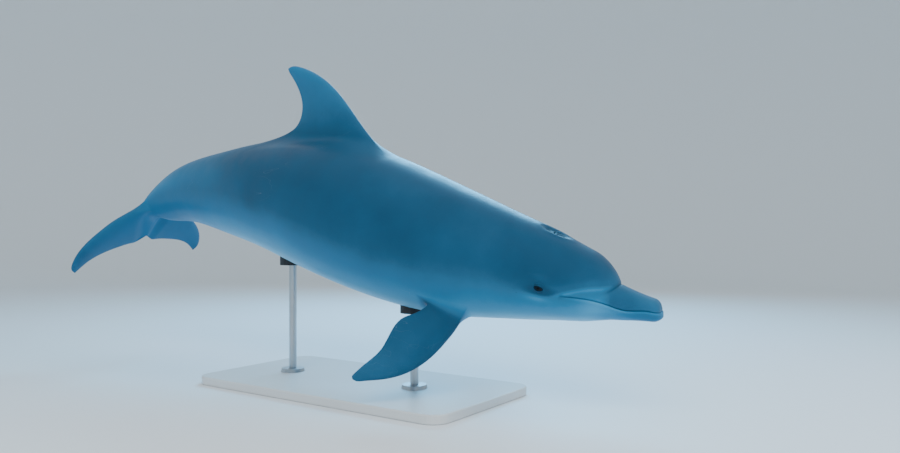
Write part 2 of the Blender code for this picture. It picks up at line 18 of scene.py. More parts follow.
import bpy
import numpy as np
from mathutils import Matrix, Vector

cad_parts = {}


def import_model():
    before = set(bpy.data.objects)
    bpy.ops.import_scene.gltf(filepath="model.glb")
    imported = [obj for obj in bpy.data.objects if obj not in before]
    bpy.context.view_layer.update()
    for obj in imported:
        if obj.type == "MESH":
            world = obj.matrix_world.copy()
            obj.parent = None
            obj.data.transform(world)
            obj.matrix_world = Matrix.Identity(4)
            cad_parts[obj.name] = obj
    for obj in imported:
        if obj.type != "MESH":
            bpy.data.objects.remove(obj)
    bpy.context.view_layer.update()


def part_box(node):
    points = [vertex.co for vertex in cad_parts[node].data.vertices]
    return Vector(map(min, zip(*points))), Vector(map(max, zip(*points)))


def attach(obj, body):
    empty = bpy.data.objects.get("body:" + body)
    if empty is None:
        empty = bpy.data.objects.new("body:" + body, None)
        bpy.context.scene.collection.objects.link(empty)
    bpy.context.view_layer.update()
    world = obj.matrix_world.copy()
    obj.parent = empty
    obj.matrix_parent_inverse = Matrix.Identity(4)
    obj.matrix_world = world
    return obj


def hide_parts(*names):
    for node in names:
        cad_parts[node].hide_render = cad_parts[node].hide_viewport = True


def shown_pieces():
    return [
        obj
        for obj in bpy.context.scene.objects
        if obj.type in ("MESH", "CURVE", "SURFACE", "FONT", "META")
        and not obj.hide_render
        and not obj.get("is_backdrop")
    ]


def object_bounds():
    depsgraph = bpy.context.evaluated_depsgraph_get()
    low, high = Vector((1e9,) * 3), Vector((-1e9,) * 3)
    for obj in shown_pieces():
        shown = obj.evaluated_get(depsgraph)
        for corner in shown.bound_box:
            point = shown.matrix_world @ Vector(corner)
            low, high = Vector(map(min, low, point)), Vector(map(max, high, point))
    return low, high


Array = np.ndarray
Table = tuple[tuple[float, ...], ...]
LOG = logging.getLogger("dolphin")

BACK = math.pi / 2.0
FULL_TURN = 2.0 * math.pi
BLOWHOLE_STATION = 0.140
FLIPPER_DROP = math.radians(46.0)
FLESH = (
    "upper_jaw", "lower_jaw", "head", "neck", "trunk_front", "trunk_rear", "tail_stock_front",
    "tail_stock_rear", "dorsal_fin", "flipper_right", "flipper_left", "fluke_right", "fluke_left",
)


class Side(Enum):
    """Left and right of the animal: the sign of its left direction."""

    LEFT = 1.0
    RIGHT = -1.0

    @property
    def tag(self) -> str:
        """Ending of the names of pieces on this side."""
        return self.name.lower()

    def angle(self, elevation: float) -> float:
        """Angle round the ring of a point at this elevation above the side."""
        return elevation if self is Side.LEFT else math.pi - elevation


# ------------------------------------------------------------------------------------ curves
def natural_spline(knots: Array, values: Array, places: Array) -> Array:
    """Reads a natural cubic spline.

    Second derivatives at the knots solve the usual three-term equations, with none at the ends.

    Args:
        knots: increasing places of the known values.
        values: the known values.
        places: where to read the curve; places past the ends read the end values.

    Returns:
        The curve at the places.
    """
    step = np.diff(knots)
    slope = np.diff(values) / step
    matrix = np.eye(len(knots))
    inner = np.arange(1, len(knots) - 1)
    matrix[inner, inner - 1] = step[:-1]
    matrix[inner, inner] = 2.0 * (step[:-1] + step[1:])
    matrix[inner, inner + 1] = step[1:]
    right = np.zeros(len(knots))
    right[1:-1] = 6.0 * np.diff(slope)
    bend = np.linalg.solve(matrix, right)
    places = np.clip(places, knots[0], knots[-1])
    i = np.clip(np.searchsorted(knots, places, side="right") - 1, 0, len(step) - 1)
    before = places - knots[i]
    after = knots[i + 1] - places
    cubic = (bend[i] * after**3 + bend[i + 1] * before**3) / (6.0 * step[i])
    low = (values[i] / step[i] - bend[i] * step[i] / 6.0) * after
    high = (values[i + 1] / step[i] - bend[i + 1] * step[i] / 6.0) * before
    return cubic + low + high


def read(table: Table, places: Array, column: int = 1) -> Array:
    """Reads one column of a table of stations as a smooth curve."""
    rows = np.asarray(table, float)
    return natural_spline(rows[:, 0], rows[:, column], places)


def ramp(table: Table, places: Array) -> Array:
    """Reads a two-column table with straight runs between its stations."""
    rows = np.asarray(table, float)
    return np.interp(places, rows[:, 0], rows[:, 1])


def edge_curve(points: Table, shares: Array) -> Array:
    """Reads a smooth plane curve at shares of its length.

    Both coordinates are natural splines over the running length of the chords.

    Args:
        points: the points of the curve.
        shares: 0 at the first point and 1 at the last.

    Returns:
        Points of the curve, one row for each share.
    """
    known = np.asarray(points, float)
    run = np.concatenate([[0.0], np.cumsum(np.linalg.norm(np.diff(known, axis=0), axis=1))])
    run /= run[-1]
    return np.stack([natural_spline(run, known[:, k], shares) for k in (0, 1)], axis=-1)


def smooth(value: Array, low: float, high: float) -> Array:
    """Rises from 0 at low to 1 at high with flat ends: 3x^2 - 2x^3."""
    share = np.clip((value - low) / (high - low), 0.0, 1.0)
    return share * share * (3.0 - 2.0 * share)


def hump(value: Array, width: float) -> Array:
    """Bell curve exp(-(x / width)^2)."""
    return np.exp(-((value / width) ** 2))


def unit(vector: Array) -> Array:
    """The vectors at length one."""
    return vector / np.maximum(np.linalg.norm(vector, axis=-1, keepdims=True), 1e-12)


def between(count: int) -> Array:
    """Even steps between 0 and 1, without the ends."""
    return np.arange(1, count + 1) / (count + 1.0)


def dome(places: Array, front: float, full: float, fullness: float) -> Array:
    """Rises from 0 at the front to 1 at the full station along a rounded nose."""
    share = np.clip((places - front) / (full - front), 0.0, 1.0)
    return (1.0 - (1.0 - share) ** 2) ** (1.0 / fullness)


def blended(first: Array, second: Array, width: Array | float) -> Array:
    """The greater value, plus up to a quarter of the width where the two are nearly equal."""
    apart = np.clip((first - second) / width, -1.0, 1.0)
    return np.maximum(first, second) + width * 0.25 * (1.0 - np.abs(apart)) ** 2


def wrapped(angle: Array | float) -> Array:
    """The angle between minus and plus half a turn."""
    return (angle + math.pi) % FULL_TURN - math.pi


@dataclass(frozen=True)
class Ridge:
    """A rounded ridge where a value passes a given one, or a groove if its height is negative."""

    at: float
    width: float
    height: float

    def over(self, value: Array) -> Array:
        """Height there: height exp(-((value - at) / width)^2)."""
        return self.height * hump(value - self.at, self.width)


# ------------------------------------------------------------------------------------ the animal
@dataclass(frozen=True)
class Pose:
    """How the swimming animal is bent: degrees nose up, degrees turned left, and its lean."""

    pitch: Table = (
        (0.000, -9.0), (0.100, -10.4), (0.220, -16.6), (0.400, -16.5), (0.550, -10.6),
        (0.680, -5.4), (0.800, -1.2), (0.875, 11.1), (0.925, 31.4), (0.955, 57.0), (1.000, 57.0),
    )
    turn: Table = ((0.00, 5.3), (0.12, 5.3), (0.30, 1.9), (0.50, 0.0), (1.00, 0.0))
    roll: float = math.radians(8.0)


@dataclass(frozen=True)
class BodyForm:
    """Rounded shape of head, trunk and tail stock round the spine, in shares of the length.

    Each ring is a soft oval with its own height above the spine, depth below it and half-width.
    The beak is a second oval that runs out of the front of the melon, so a crease stays between.
    """

    trunk: Table = (
        (0.040, 0.0430, 0.0180, 0.034),
        (0.070, 0.0515, 0.0230, 0.042),
        (0.105, 0.0625, 0.0300, 0.050),
        (0.145, 0.0738, 0.0395, 0.056),
        (0.190, 0.0815, 0.0518, 0.062),
        (0.240, 0.0880, 0.0673, 0.070),
        (0.320, 0.0963, 0.0846, 0.080),
        (0.420, 0.1051, 0.0922, 0.085),
        (0.520, 0.1024, 0.0882, 0.079),
        (0.620, 0.0889, 0.0757, 0.064),
        (0.720, 0.0692, 0.0626, 0.046),
        (0.820, 0.0476, 0.0492, 0.029),
        (0.900, 0.0258, 0.0352, 0.021),
        (0.935, 0.0162, 0.0190, 0.021),
        (0.960, 0.0105, 0.0105, 0.018),
        (0.975, 0.0066, 0.0066, 0.0115),
        (0.990, 0.0026, 0.0030, 0.003),
    )
    melon_front: float = 0.0455
    melon_crown: float = 0.088
    melon_fullness: float = 2.2
    beak: Table = (
        (0.000, 0.0124, 0.0114, 0.0152),
        (0.020, 0.0156, 0.0138, 0.0168),
        (0.045, 0.0215, 0.0180, 0.0212),
        (0.070, 0.0262, 0.0198, 0.0350),
        (0.095, 0.0270, 0.0225, 0.0440),
        (0.125, 0.0240, 0.0230, 0.0460),
        (0.180, 0.0100, 0.0180, 0.0360),
    )
    beak_rounding: float = 0.010
    beak_fullness: float = 2.8
    crease: Table = (
        (-1.0, 0.009), (-0.5, 0.012), (0.0, 0.014), (0.3, 0.010), (0.6, 0.004), (1.0, 0.002),
    )
    melon_sweep: float = 0.0060
    melon_top: tuple[float, float] = (0.1, 0.95)
    melon_under: tuple[float, float] = (-0.6, 0.0)
    side_roundness: float = 2.1
    keel_roundness: Table = ((0.00, 2.1), (0.55, 2.1), (0.80, 1.75), (1.00, 1.7))
    beak_roundness: float = 2.4
    waist: float = 0.4
    tail: float = 0.990

    def oval(self, angles: Array, sizes: list[Array], side: float, keel: Array) -> Array:
        """Radius of a soft oval: (|cos/w|^p + |sin/h|^p)^(-1/p).

        The height goes smoothly from the lower to the upper one near the side, and the exponent
        from its value at the side to its value at the keels.

        Args:
            angles: 0 at the left side, a quarter turn at the back.
            sizes: height above, depth below and half-width.
            side: exponent at the sides.
            keel: exponent at the back and the belly.

        Returns:
            Distance from the spine.
        """
        above, below, half = sizes
        rise = np.sin(angles)
        height = below + (above - below) * smooth(rise, -self.waist, self.waist)
        power = side + (keel - side) * rise**4
        across = np.abs(np.cos(angles) / half) ** power
        return (across + np.abs(rise / height) ** power) ** (-1.0 / power)

    def ovals(self, places: Array, angles: Array) -> tuple[Array, Array]:
        """Radii of the trunk's oval and of the beak's, each 0 where it is absent.

        The melon rises later at the sides than on top: its front is swept back there.

        Args:
            places: stations.
            angles: angles round the rings.

        Returns:
            Both distances from the spine.
        """
        least = 1e-5
        rise = np.sin(angles)
        side = 1.0 - smooth(rise, *self.melon_top)
        front = places - self.melon_sweep * side * smooth(rise, *self.melon_under)
        melon = dome(front, self.melon_front, self.melon_crown, self.melon_fullness)
        trunk = [read(self.trunk, places, k) * melon + least for k in (1, 2, 3)]
        snout = dome(places, 0.0, self.beak_rounding, self.beak_fullness)
        beak = [read(self.beak, places, k) * snout + least for k in (1, 2, 3)]
        keel = ramp(self.keel_roundness, places)
        outer = self.oval(angles, trunk, self.side_roundness, keel)
        inner = self.oval(angles, beak, self.beak_roundness, self.beak_roundness)
        outer = np.where(front < self.melon_front, 0.0, outer)
        return outer, np.where(places > self.beak[-1][0], 0.0, inner)

    def radius(self, places: Array, angles: Array) -> Array:
        """Distance from the spine to the skin: the greater oval, with the crease filled in.

        The fill is slight over the beak and wide at the cheeks, where the beak flares into the
        head without a crease.

        Args:
            places: stations.
            angles: angles round the rings.

        Returns:
            The distance, as a share of the body's length.
        """
        outer, inner = self.ovals(places, angles)
        return blended(outer, inner, read(self.crease, np.sin(angles)))


@dataclass
class Animal:
    """The posed body as a surface over station and angle."""

    pose: Pose = field(default_factory=Pose)
    form: BodyForm = field(default_factory=BodyForm)
    length: float = 1.0
    tip: Array = field(default_factory=lambda: np.zeros(3))
    samples: int = 4001

    def __post_init__(self) -> None:
        """Adds up the steps along the spine from its pitch and turn."""
        self.places = np.linspace(0.0, 1.0, self.samples)
        pitch = np.radians(read(self.pose.pitch, self.places))
        turn = np.radians(read(self.pose.turn, self.places))
        level = np.stack([np.cos(turn), np.sin(turn), np.zeros(self.samples)], axis=1)
        ahead = level * np.cos(pitch)[:, None]
        ahead[:, 2] = np.sin(pitch)
        left = np.stack([-np.sin(turn), np.cos(turn), np.zeros(self.samples)], axis=1)
        step = -ahead / (self.samples - 1)
        centre = np.zeros((self.samples, 3))
        centre[1:] = np.cumsum((step[1:] + step[:-1]) / 2.0, axis=0)
        cosine = math.cos(self.pose.roll)
        sine = math.sin(self.pose.roll)
        lean = np.array([[1.0, 0.0, 0.0], [0.0, cosine, -sine], [0.0, sine, cosine]])
        self.fields = [part @ lean.T for part in (centre, ahead, left, np.cross(ahead, left))]

    @classmethod
    def from_frame(cls) -> "Animal":
        """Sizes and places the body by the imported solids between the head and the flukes.

        Returns:
            The animal whose neck, trunk and tail stock fill the box of those solids.
        """
        trial = cls()
        low, high = boxes("neck", "trunk_front", "trunk_rear", "tail_stock_front")
        neck_front, stock_rear = 0.165, 0.780
        stations, turns = 200, 90
        places = np.linspace(neck_front, stock_rear, stations)
        rings = trial.point(places[:, None], np.linspace(0.0, FULL_TURN, turns)[None, :])
        start = rings.reshape(-1, 3).min(axis=0)
        end = rings.reshape(-1, 3).max(axis=0)
        length = float((high - low)[0] / (end - start)[0])
        return cls(length=length, tip=(low + high) / 2.0 - (start + end) / 2.0 * length)

    def spine(self, places: Array) -> list[Array]:
        """Centre, ahead, left and up at the stations."""
        centre, ahead, left, up = [
            np.stack([np.interp(places, self.places, part[:, k]) for k in range(3)], axis=-1)
            for part in self.fields
        ]
        return [centre * self.length + self.tip, unit(ahead), unit(left), unit(up)]

    def radius(self, places: Array, angles: Array) -> Array:
        """Distance from the spine to the skin, in metres."""
        return self.form.radius(places, angles) * self.length

    def point(self, places: Array | float, angles: Array | float) -> Array:
        """Points of the smooth skin: centre + radius (cos angle left + sin angle up).

        Args:
            places: stations.
            angles: angles round the rings.

        Returns:
            The points, in metres.
        """
        places, angles = np.broadcast_arrays(np.asarray(places, float), np.asarray(angles, float))
        centre, _, left, up = self.spine(places)
        radius = self.radius(places, angles)
        return (centre + (radius * np.cos(angles))[..., None] * left
                + (radius * np.sin(angles))[..., None] * up)

    def normal(self, places: Array | float, angles: Array | float, step: float = 1e-3) -> Array:
        """Outward normals of the smooth skin: across small steps along and round the body.

        Args:
            places: stations.
            angles: angles round the rings.
            step: half the length of the steps, as a share of the length and in radians.

        Returns:
            The normals.
        """
        along = (self.point(np.minimum(places + step, self.form.tail), angles)
                 - self.point(np.maximum(places - step, 0.0), angles))
        around = self.point(places, angles + step) - self.point(places, angles - step)
        return unit(np.cross(along, around))


def boxes(*names: str) -> tuple[Array, Array]:
    """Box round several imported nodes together.

    Args:
        names: the nodes.

    Returns:
        Its lowest and its highest corner.
    """
    corners = [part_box(name) for name in names]
    low = np.min([np.array(pair[0]) for pair in corners], axis=0)
    high = np.max([np.array(pair[1]) for pair in corners], axis=0)
    return low, high


def packed_eye(side: Side) -> tuple[Array, float]:
    """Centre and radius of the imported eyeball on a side."""
    low, high = boxes("eye_" + side.tag)
    return (low + high) / 2.0, float((high - low)[0]) / 2.0


# ------------------------------------------------------------------------------------ the net
class Net:
    """Points, faces and named values at the points, collected piece by piece."""

    def __init__(self, **values: float) -> None:
        """Starts empty.

        Args:
            values: name and default of each value kept at the points.
        """
        self.defaults = values
        self.points: list[Array] = []
        self.values: dict[str, list[Array]] = {name: [] for name in values}
        self.faces: list[Array] = []
        self.count = 0

    def add(self, points: Array, **values: Array | float) -> Array:
        """Adds points.

        Args:
            points: places, in an array of any shape that ends in 3.
            values: some of the named values, which spread over the points.

        Returns:
            Numbers of the points, in the array's shape.
        """
        shape = points.shape[:-1]
        total = int(np.prod(shape))
        self.points.append(points.reshape(-1, 3))
        for name, default in self.defaults.items():
            value = np.broadcast_to(np.asarray(values.get(name, default), float), shape)
            self.values[name].append(value.reshape(-1))
        numbers = np.arange(self.count, self.count + total).reshape(shape)
        self.count += total
        return numbers

    def join(self, rows: Array, keep: Array | None = None) -> None:
        """Joins each row of points to the next one with quads, and its end to its start.

        The faces point outwards where rows run towards the tail and columns turn from the left
        side to the back.

        Args:
            rows: point numbers, one row after the other.
            keep: which cells to make, or all of them.
        """
        right = np.roll(rows, -1, axis=1)
        cells = np.stack([rows[:-1], rows[1:], right[1:], right[:-1]], axis=-1)
        if keep is not None:
            cells = cells[keep]
        self.faces.append(cells.reshape(-1, 4))

    def close(self, rings: list[Array], pole: Array) -> None:
        """Fills a block of the grid: rings from the block's loop inwards, then one last point."""
        last = np.full_like(rings[-1], int(pole.reshape(-1)[0]))
        self.join(np.stack([*rings, last])[::-1])

    def gather(self) -> tuple[Array, Array, dict[str, Array]]:
        """Joins what was added and drops points that no face uses.

        Returns:
            Points, faces, and the named values at the points.
        """
        faces = np.concatenate(self.faces)
        used, packed = np.unique(faces, return_inverse=True)
        points = np.concatenate(self.points)[used]
        values = {name: np.concatenate(parts)[used] for name, parts in self.values.items()}
        return points, packed.reshape(faces.shape), values


def point_normals(points: Array, faces: Array) -> Array:
    """Area-weighted normals at the points, from the cross product of each face's diagonals.

    Args:
        points: places of the points.
        faces: four point numbers a face.

    Returns:
        One normal for each point.
    """
    first = points[faces[:, 2]] - points[faces[:, 0]]
    second = points[faces[:, 3]] - points[faces[:, 1]]
    flat = np.cross(first, second)
    total = np.zeros_like(points)
    for corner in range(4):
        np.add.at(total, faces[:, corner], flat)
    return unit(total)


def mesh_object(name: str, points: Array, faces: Array, values: dict[str, Array]
                ) -> bpy.types.Object:
    """Makes a smooth mesh object at the origin.

    Args:
        name: the piece's name.
        points: places of the points.
        faces: four point numbers a face; one that names a point twice in a row is a triangle.
        values: named values to store at the points.

    Returns:
        The new object, in the scene.
    """
    differs = np.roll(faces, -1, axis=1) != faces
    whole = differs.sum(axis=1) > 2
    faces = faces[whole]
    differs = differs[whole]
    corners = faces[differs]
    sizes = differs.sum(axis=1)
    starts = np.concatenate([[0], np.cumsum(sizes)[:-1]])
    mesh = bpy.data.meshes.new(name)
    mesh.vertices.add(len(points))
    mesh.vertices.foreach_set("co", points.astype(np.float32).ravel())
    mesh.loops.add(len(corners))
    mesh.loops.foreach_set("vertex_index", corners.astype(np.int32))
    mesh.polygons.add(len(faces))
    mesh.polygons.foreach_set("loop_start", starts.astype(np.int32))
    mesh.polygons.foreach_set("use_smooth", np.ones(len(faces), bool))
    mesh.update(calc_edges=True)
    for key, value in values.items():
        layer = mesh.attributes.new(key, "FLOAT", "POINT")
        layer.data.foreach_set("value", value.astype(np.float32))
    piece = bpy.data.objects.new(name, mesh)
    bpy.context.scene.collection.objects.link(piece)
    return piece


@dataclass(frozen=True)
class Pull:
    """Draws the grid's columns together along one line of the body."""

    angle: float
    strength: Table
    width: float

    def shift(self, places: Array, angles: Array, centre: Array | float) -> Array:
        """Moves angles towards the centre: d becomes d (1 - strength exp(-(d / width)^2))."""
        away = wrapped(angles - centre)
        return angles - ramp(self.strength, places) * away * hump(away, self.width)


@dataclass(frozen=True)
class Window:
    """A block of cells left out of the grid: rows first to last, columns low to high."""

    first: int
    last: int
    low: int
    high: int

    def loop(self, width: int) -> tuple[Array, Array]:
        """Walks round the block, counter-clockwise seen from outside.

        Args:
            width: columns of the whole grid.

        Returns:
            Rows and columns of the points on the way.
        """
        down = np.arange(self.first, self.last)
        across = np.arange(self.low, self.high)
        rows = np.concatenate([down, np.full(len(across), self.last), down[::-1] + 1,
                               np.full(len(across), self.first)])
        columns = np.concatenate([np.full(len(down), self.low), across,
                                  np.full(len(down), self.high), across[::-1] + 1])
        return rows, columns % width

    def clear(self, keep: Array) -> None:
        """Marks the block's cells as left out."""
        keep[self.first:self.last, np.arange(self.low, self.high) % keep.shape[1]] = False


@dataclass
class BodyGrid:
    """Rings of points round the body, closer together where the form turns faster."""

    animal: Animal
    columns: int = 128
    spacing: Table = (
        (0.000, 0.00030), (0.002, 0.00080), (0.006, 0.00150), (0.012, 0.00220), (0.036, 0.00220),
        (0.044, 0.00130), (0.051, 0.00130), (0.060, 0.00220), (0.075, 0.00340), (0.165, 0.00420),
        (0.210, 0.00600), (0.290, 0.00700), (0.320, 0.00950), (0.620, 0.00950), (0.850, 0.00750),
        (0.895, 0.00450), (0.990, 0.00400),
    )
    first_station: float = 0.00002
    tip_rings: tuple[float, ...] = (0.25, 0.50, 0.75)
    mouth_line: Table = (
        (0.000, 0.0004), (0.010, 0.0020), (0.025, 0.0000), (0.038, -0.0014), (0.050, 0.0010),
        (0.061, 0.0052), (0.080, 0.0094), (0.106, 0.0088),
    )
    mouth_corner: float = 0.106
    mouth_fade: float = 0.165
    mouth_pull: Pull = Pull(0.0, ((0.0, 0.72), (0.095, 0.72), (0.125, 0.45), (0.160, 0.35),
                                  (0.185, 0.0)), 0.55)
    pulls: tuple[Pull, ...] = (
        Pull(BACK, ((0.105, 0.0), (0.122, 0.55), (0.158, 0.55), (0.180, 0.0), (0.350, 0.0),
                    (0.400, 0.70), (0.630, 0.70), (0.690, 0.0)), 0.42),
        *(Pull(side.angle(-FLIPPER_DROP),
               ((0.190, 0.0), (0.215, 0.55), (0.295, 0.55), (0.330, 0.0)), 0.40) for side in Side),
    )
    lip_reach: float = 0.9
    samples: int = 20001

    def __post_init__(self) -> None:
        """Lays out the rings, their columns and their points.

        Stations are spaced by the running sum of 1 / spacing. The last ring is pressed flat on
        the midplane, so that its left and right halves share their points.
        """
        rows = np.asarray(self.spacing, float)
        fine = np.linspace(self.first_station, self.animal.form.tail, self.samples)
        pace = self.animal.length / np.interp(fine, rows[:, 0], rows[:, 1])
        run = np.concatenate([[0.0], np.cumsum((pace[1:] + pace[:-1]) / 2.0 * np.diff(fine))])
        count = int(round(run[-1]))
        self.stations = np.interp(np.arange(count + 1) * run[-1] / count, run, fine)
        self.angles = self.column_angles(self.stations[:, None])
        self.points = self.animal.point(self.stations[:, None], self.angles)
        centre, _, left, _ = self.animal.spine(self.stations[-1:])
        aside = (self.points[-1] - centre) @ left[0]
        self.points[-1] -= aside[:, None] * left

    def lips(self, places: Array) -> Array:
        """Height of the closed lips above the spine, in metres."""
        return read(self.mouth_line, places) * self.animal.length

    def mouth_angle(self, places: Array) -> Array:
        """Angle of the lips on the left side: arcsin(height / radius), found in a few rounds.

        Behind the corner of the mouth it dies away to 0.

        Args:
            places: stations.

        Returns:
            The angle at each station.
        """
        rounds = 12
        steepest = 0.9
        held = np.minimum(places, self.mouth_corner)
        angle = np.zeros_like(held)
        for _ in range(rounds):
            ratio = self.lips(held) / self.animal.radius(held, angle)
            angle = np.arcsin(np.clip(ratio, -steepest, steepest))
        return angle * (1.0 - smooth(places, self.mouth_corner, self.mouth_fade))

    def column_angles(self, places: Array) -> Array:
        """Angles of the columns of each ring.

        Even columns are first moved so that one lies on each lip line, then drawn together along
        the lips, the midline of the back and the roots of the flippers.

        Args:
            places: stations, as a column.

        Returns:
            One row of angles for each station.
        """
        even = np.arange(self.columns) * FULL_TURN / self.columns
        near_left = wrapped(even)
        near_right = even - math.pi
        lip = self.mouth_angle(places)
        angles = even + lip * (hump(near_left, self.lip_reach) - hump(near_right, self.lip_reach))
        angles = self.mouth_pull.shift(places, angles, lip)
        angles = self.mouth_pull.shift(places, angles, math.pi - lip)
        for pull in self.pulls:
            angles = pull.shift(places, angles, pull.angle)
        return angles

    def window(self, start: float, end: float, low: float, high: float) -> Window:
        """Finds the block nearest to two stations and two angles, an even number of columns wide.

        Args:
            start: first station.
            end: last station.
            low: lowest angle.
            high: highest angle.

        Returns:
            The block.
        """
        first = int(np.argmin(np.abs(self.stations - start)))
        last = int(np.argmin(np.abs(self.stations - end)))
        middle = self.angles[(first + last) // 2]
        turns = np.concatenate([middle - FULL_TURN, middle, middle + FULL_TURN])
        left = int(np.argmin(np.abs(turns - low))) - self.columns
        right = int(np.argmin(np.abs(turns - high))) - self.columns
        return Window(first, last, left, right + (right - left) % 2)

    def add_to(self, net: Net, windows: list[Window]) -> Array:
        """Adds the rings and the tip of the beak, without the blocks.

        Args:
            net: takes the points and faces.
            windows: the blocks to leave out.

        Returns:
            Point numbers, with the last ring's right half replaced by its left half.
        """
        numbers = net.add(self.points, station=self.stations[:, None], angle=self.angles)
        mirrored = (self.columns // 2 - np.arange(self.columns)) % self.columns
        right_half = np.abs(self.angles[-1] - math.pi) < BACK - 1e-6
        numbers[-1, right_half] = numbers[-1, mirrored[right_half]]
        keep = np.ones((len(self.stations) - 1, self.columns), bool)
        for window in windows:
            window.clear(keep)
        net.join(numbers, keep)
        tip = (self.points[0, 0] + self.points[0, self.columns // 2]) / 2.0
        share = np.array(self.tip_rings)[:, None, None]
        rings = net.add(tip + (self.points[0] - tip) * share, station=self.stations[0],
                        angle=self.angles[0])
        pole = net.add(tip[None], station=self.stations[0])
        net.join(np.stack([np.full(self.columns, pole[0]), *rings, numbers[0]]))
        return numbers


# ------------------------------------------------------------------------------------ fins
# Half-thickness of the usual rounded-nose wing section: the terms of the square root of the chord
# share and of its powers 1 to 4. Their sum is about WING_HALF at its greatest.
WING_SECTION = (0.2969, -0.1260, -0.3516, 0.2843, -0.1036)
WING_HALF = 0.1


@dataclass(frozen=True)
class Blade:
    """A fin between a leading and a trailing edge, with a flared root.

    Edge points are (out along the span, back along the chord) in shares of the body's length.
    """

    lead: Table
    trail: Table
    lead_start: float
    trail_start: float
    root_half: float
    tip_half: float
    taper: float
    tone: float
    tip_tone: float
    trailing_half: float = 0.0008
    nose_chord: float = 0.035
    tail_chord: float = 0.985
    crowding: float = 1.15
    tip_rounding: int = 12
    rows: int = 40
    flare_rows: int = 12
    leave: float = 1.0
    arrive: float = 0.9
    flare_tone: float = 0.7

    def section(self, around: int, along: int) -> tuple[Array, Array]:
        """Chord shares and signs of thickness round the outline, in the order of a block's loop.

        The outline runs along the first face from nose to tail, round the tail, back along the
        second face and round the nose.

        Args:
            around: points across the nose, and as many across the tail.
            along: points along each face.

        Returns:
            Chord shares, and -1 on the first face or 1 on the second.
        """
        nose = self.nose_chord * np.linspace(0.0, 1.0, around // 2 + 1) ** 2
        face = (self.nose_chord + (self.tail_chord - self.nose_chord)
                * np.linspace(0.0, 1.0, along + 1) ** self.crowding)
        tail = 1.0 - (1.0 - self.tail_chord) * np.linspace(1.0, 0.0, around // 2 + 1) ** 2
        half = np.concatenate([nose[:-1], face[:-1], tail])
        chord = np.concatenate([half, half[-2:0:-1]])
        sign = np.concatenate([-np.ones(len(half)), np.ones(len(half) - 2)])
        return np.roll(chord, -(around // 2)), np.roll(sign, -(around // 2))

    def rings(self, shares: Array, chord: Array, sign: Array, length: float) -> Array:
        """Outlines at shares of the edges.

        The thickness is the rounded-nose wing section, greatest near a third of the chord, plus a
        trailing edge of its own that ends in a half round.

        Args:
            shares: 0 at the root and 1 at the tip.
            chord: chord shares round the outline.
            sign: sign of the thickness round the outline.
            length: length of the body.

        Returns:
            Points as (span, back, thickness) in metres, one row for each share.
        """
        out = self.lead_start + (1.0 - self.lead_start) * shares
        front = edge_curve(self.lead, out)
        rear = edge_curve(self.trail, self.trail_start + (1.0 - self.trail_start) * shares)
        plane = (front[:, None, :] * (1.0 - chord)[None, :, None]
                 + rear[:, None, :] * chord[None, :, None]) * length
        root_term, *terms = WING_SECTION
        section = root_term * np.sqrt(chord) + sum(
            term * chord ** (power + 1) for power, term in enumerate(terms))
        section = section / WING_HALF
        half = self.tip_half + (self.root_half - self.tip_half) * (1.0 - out) ** self.taper
        rise = half[:, None] * section + self.trailing_half * chord
        width = np.maximum(np.linalg.norm(rear - front, axis=1), 1e-6)
        bead = np.clip(2.0 * self.trailing_half / width, 0.0, 0.5)[:, None]
        inside = np.clip((chord - 1.0 + bead) / bead, 0.0, 1.0)
        rise = rise * np.sqrt(1.0 - inside**2)
        rise = rise * np.sqrt(1.0 - shares**self.tip_rounding)[:, None]
        return np.concatenate([plane, (rise * sign * length)[..., None]], axis=-1)


@dataclass(frozen=True)
class Mounting:
    """Where a blade grows: its block of the grid, and the origin and directions of its plane."""

    window: Window
    origin: Array
    span: Array
    back: Array


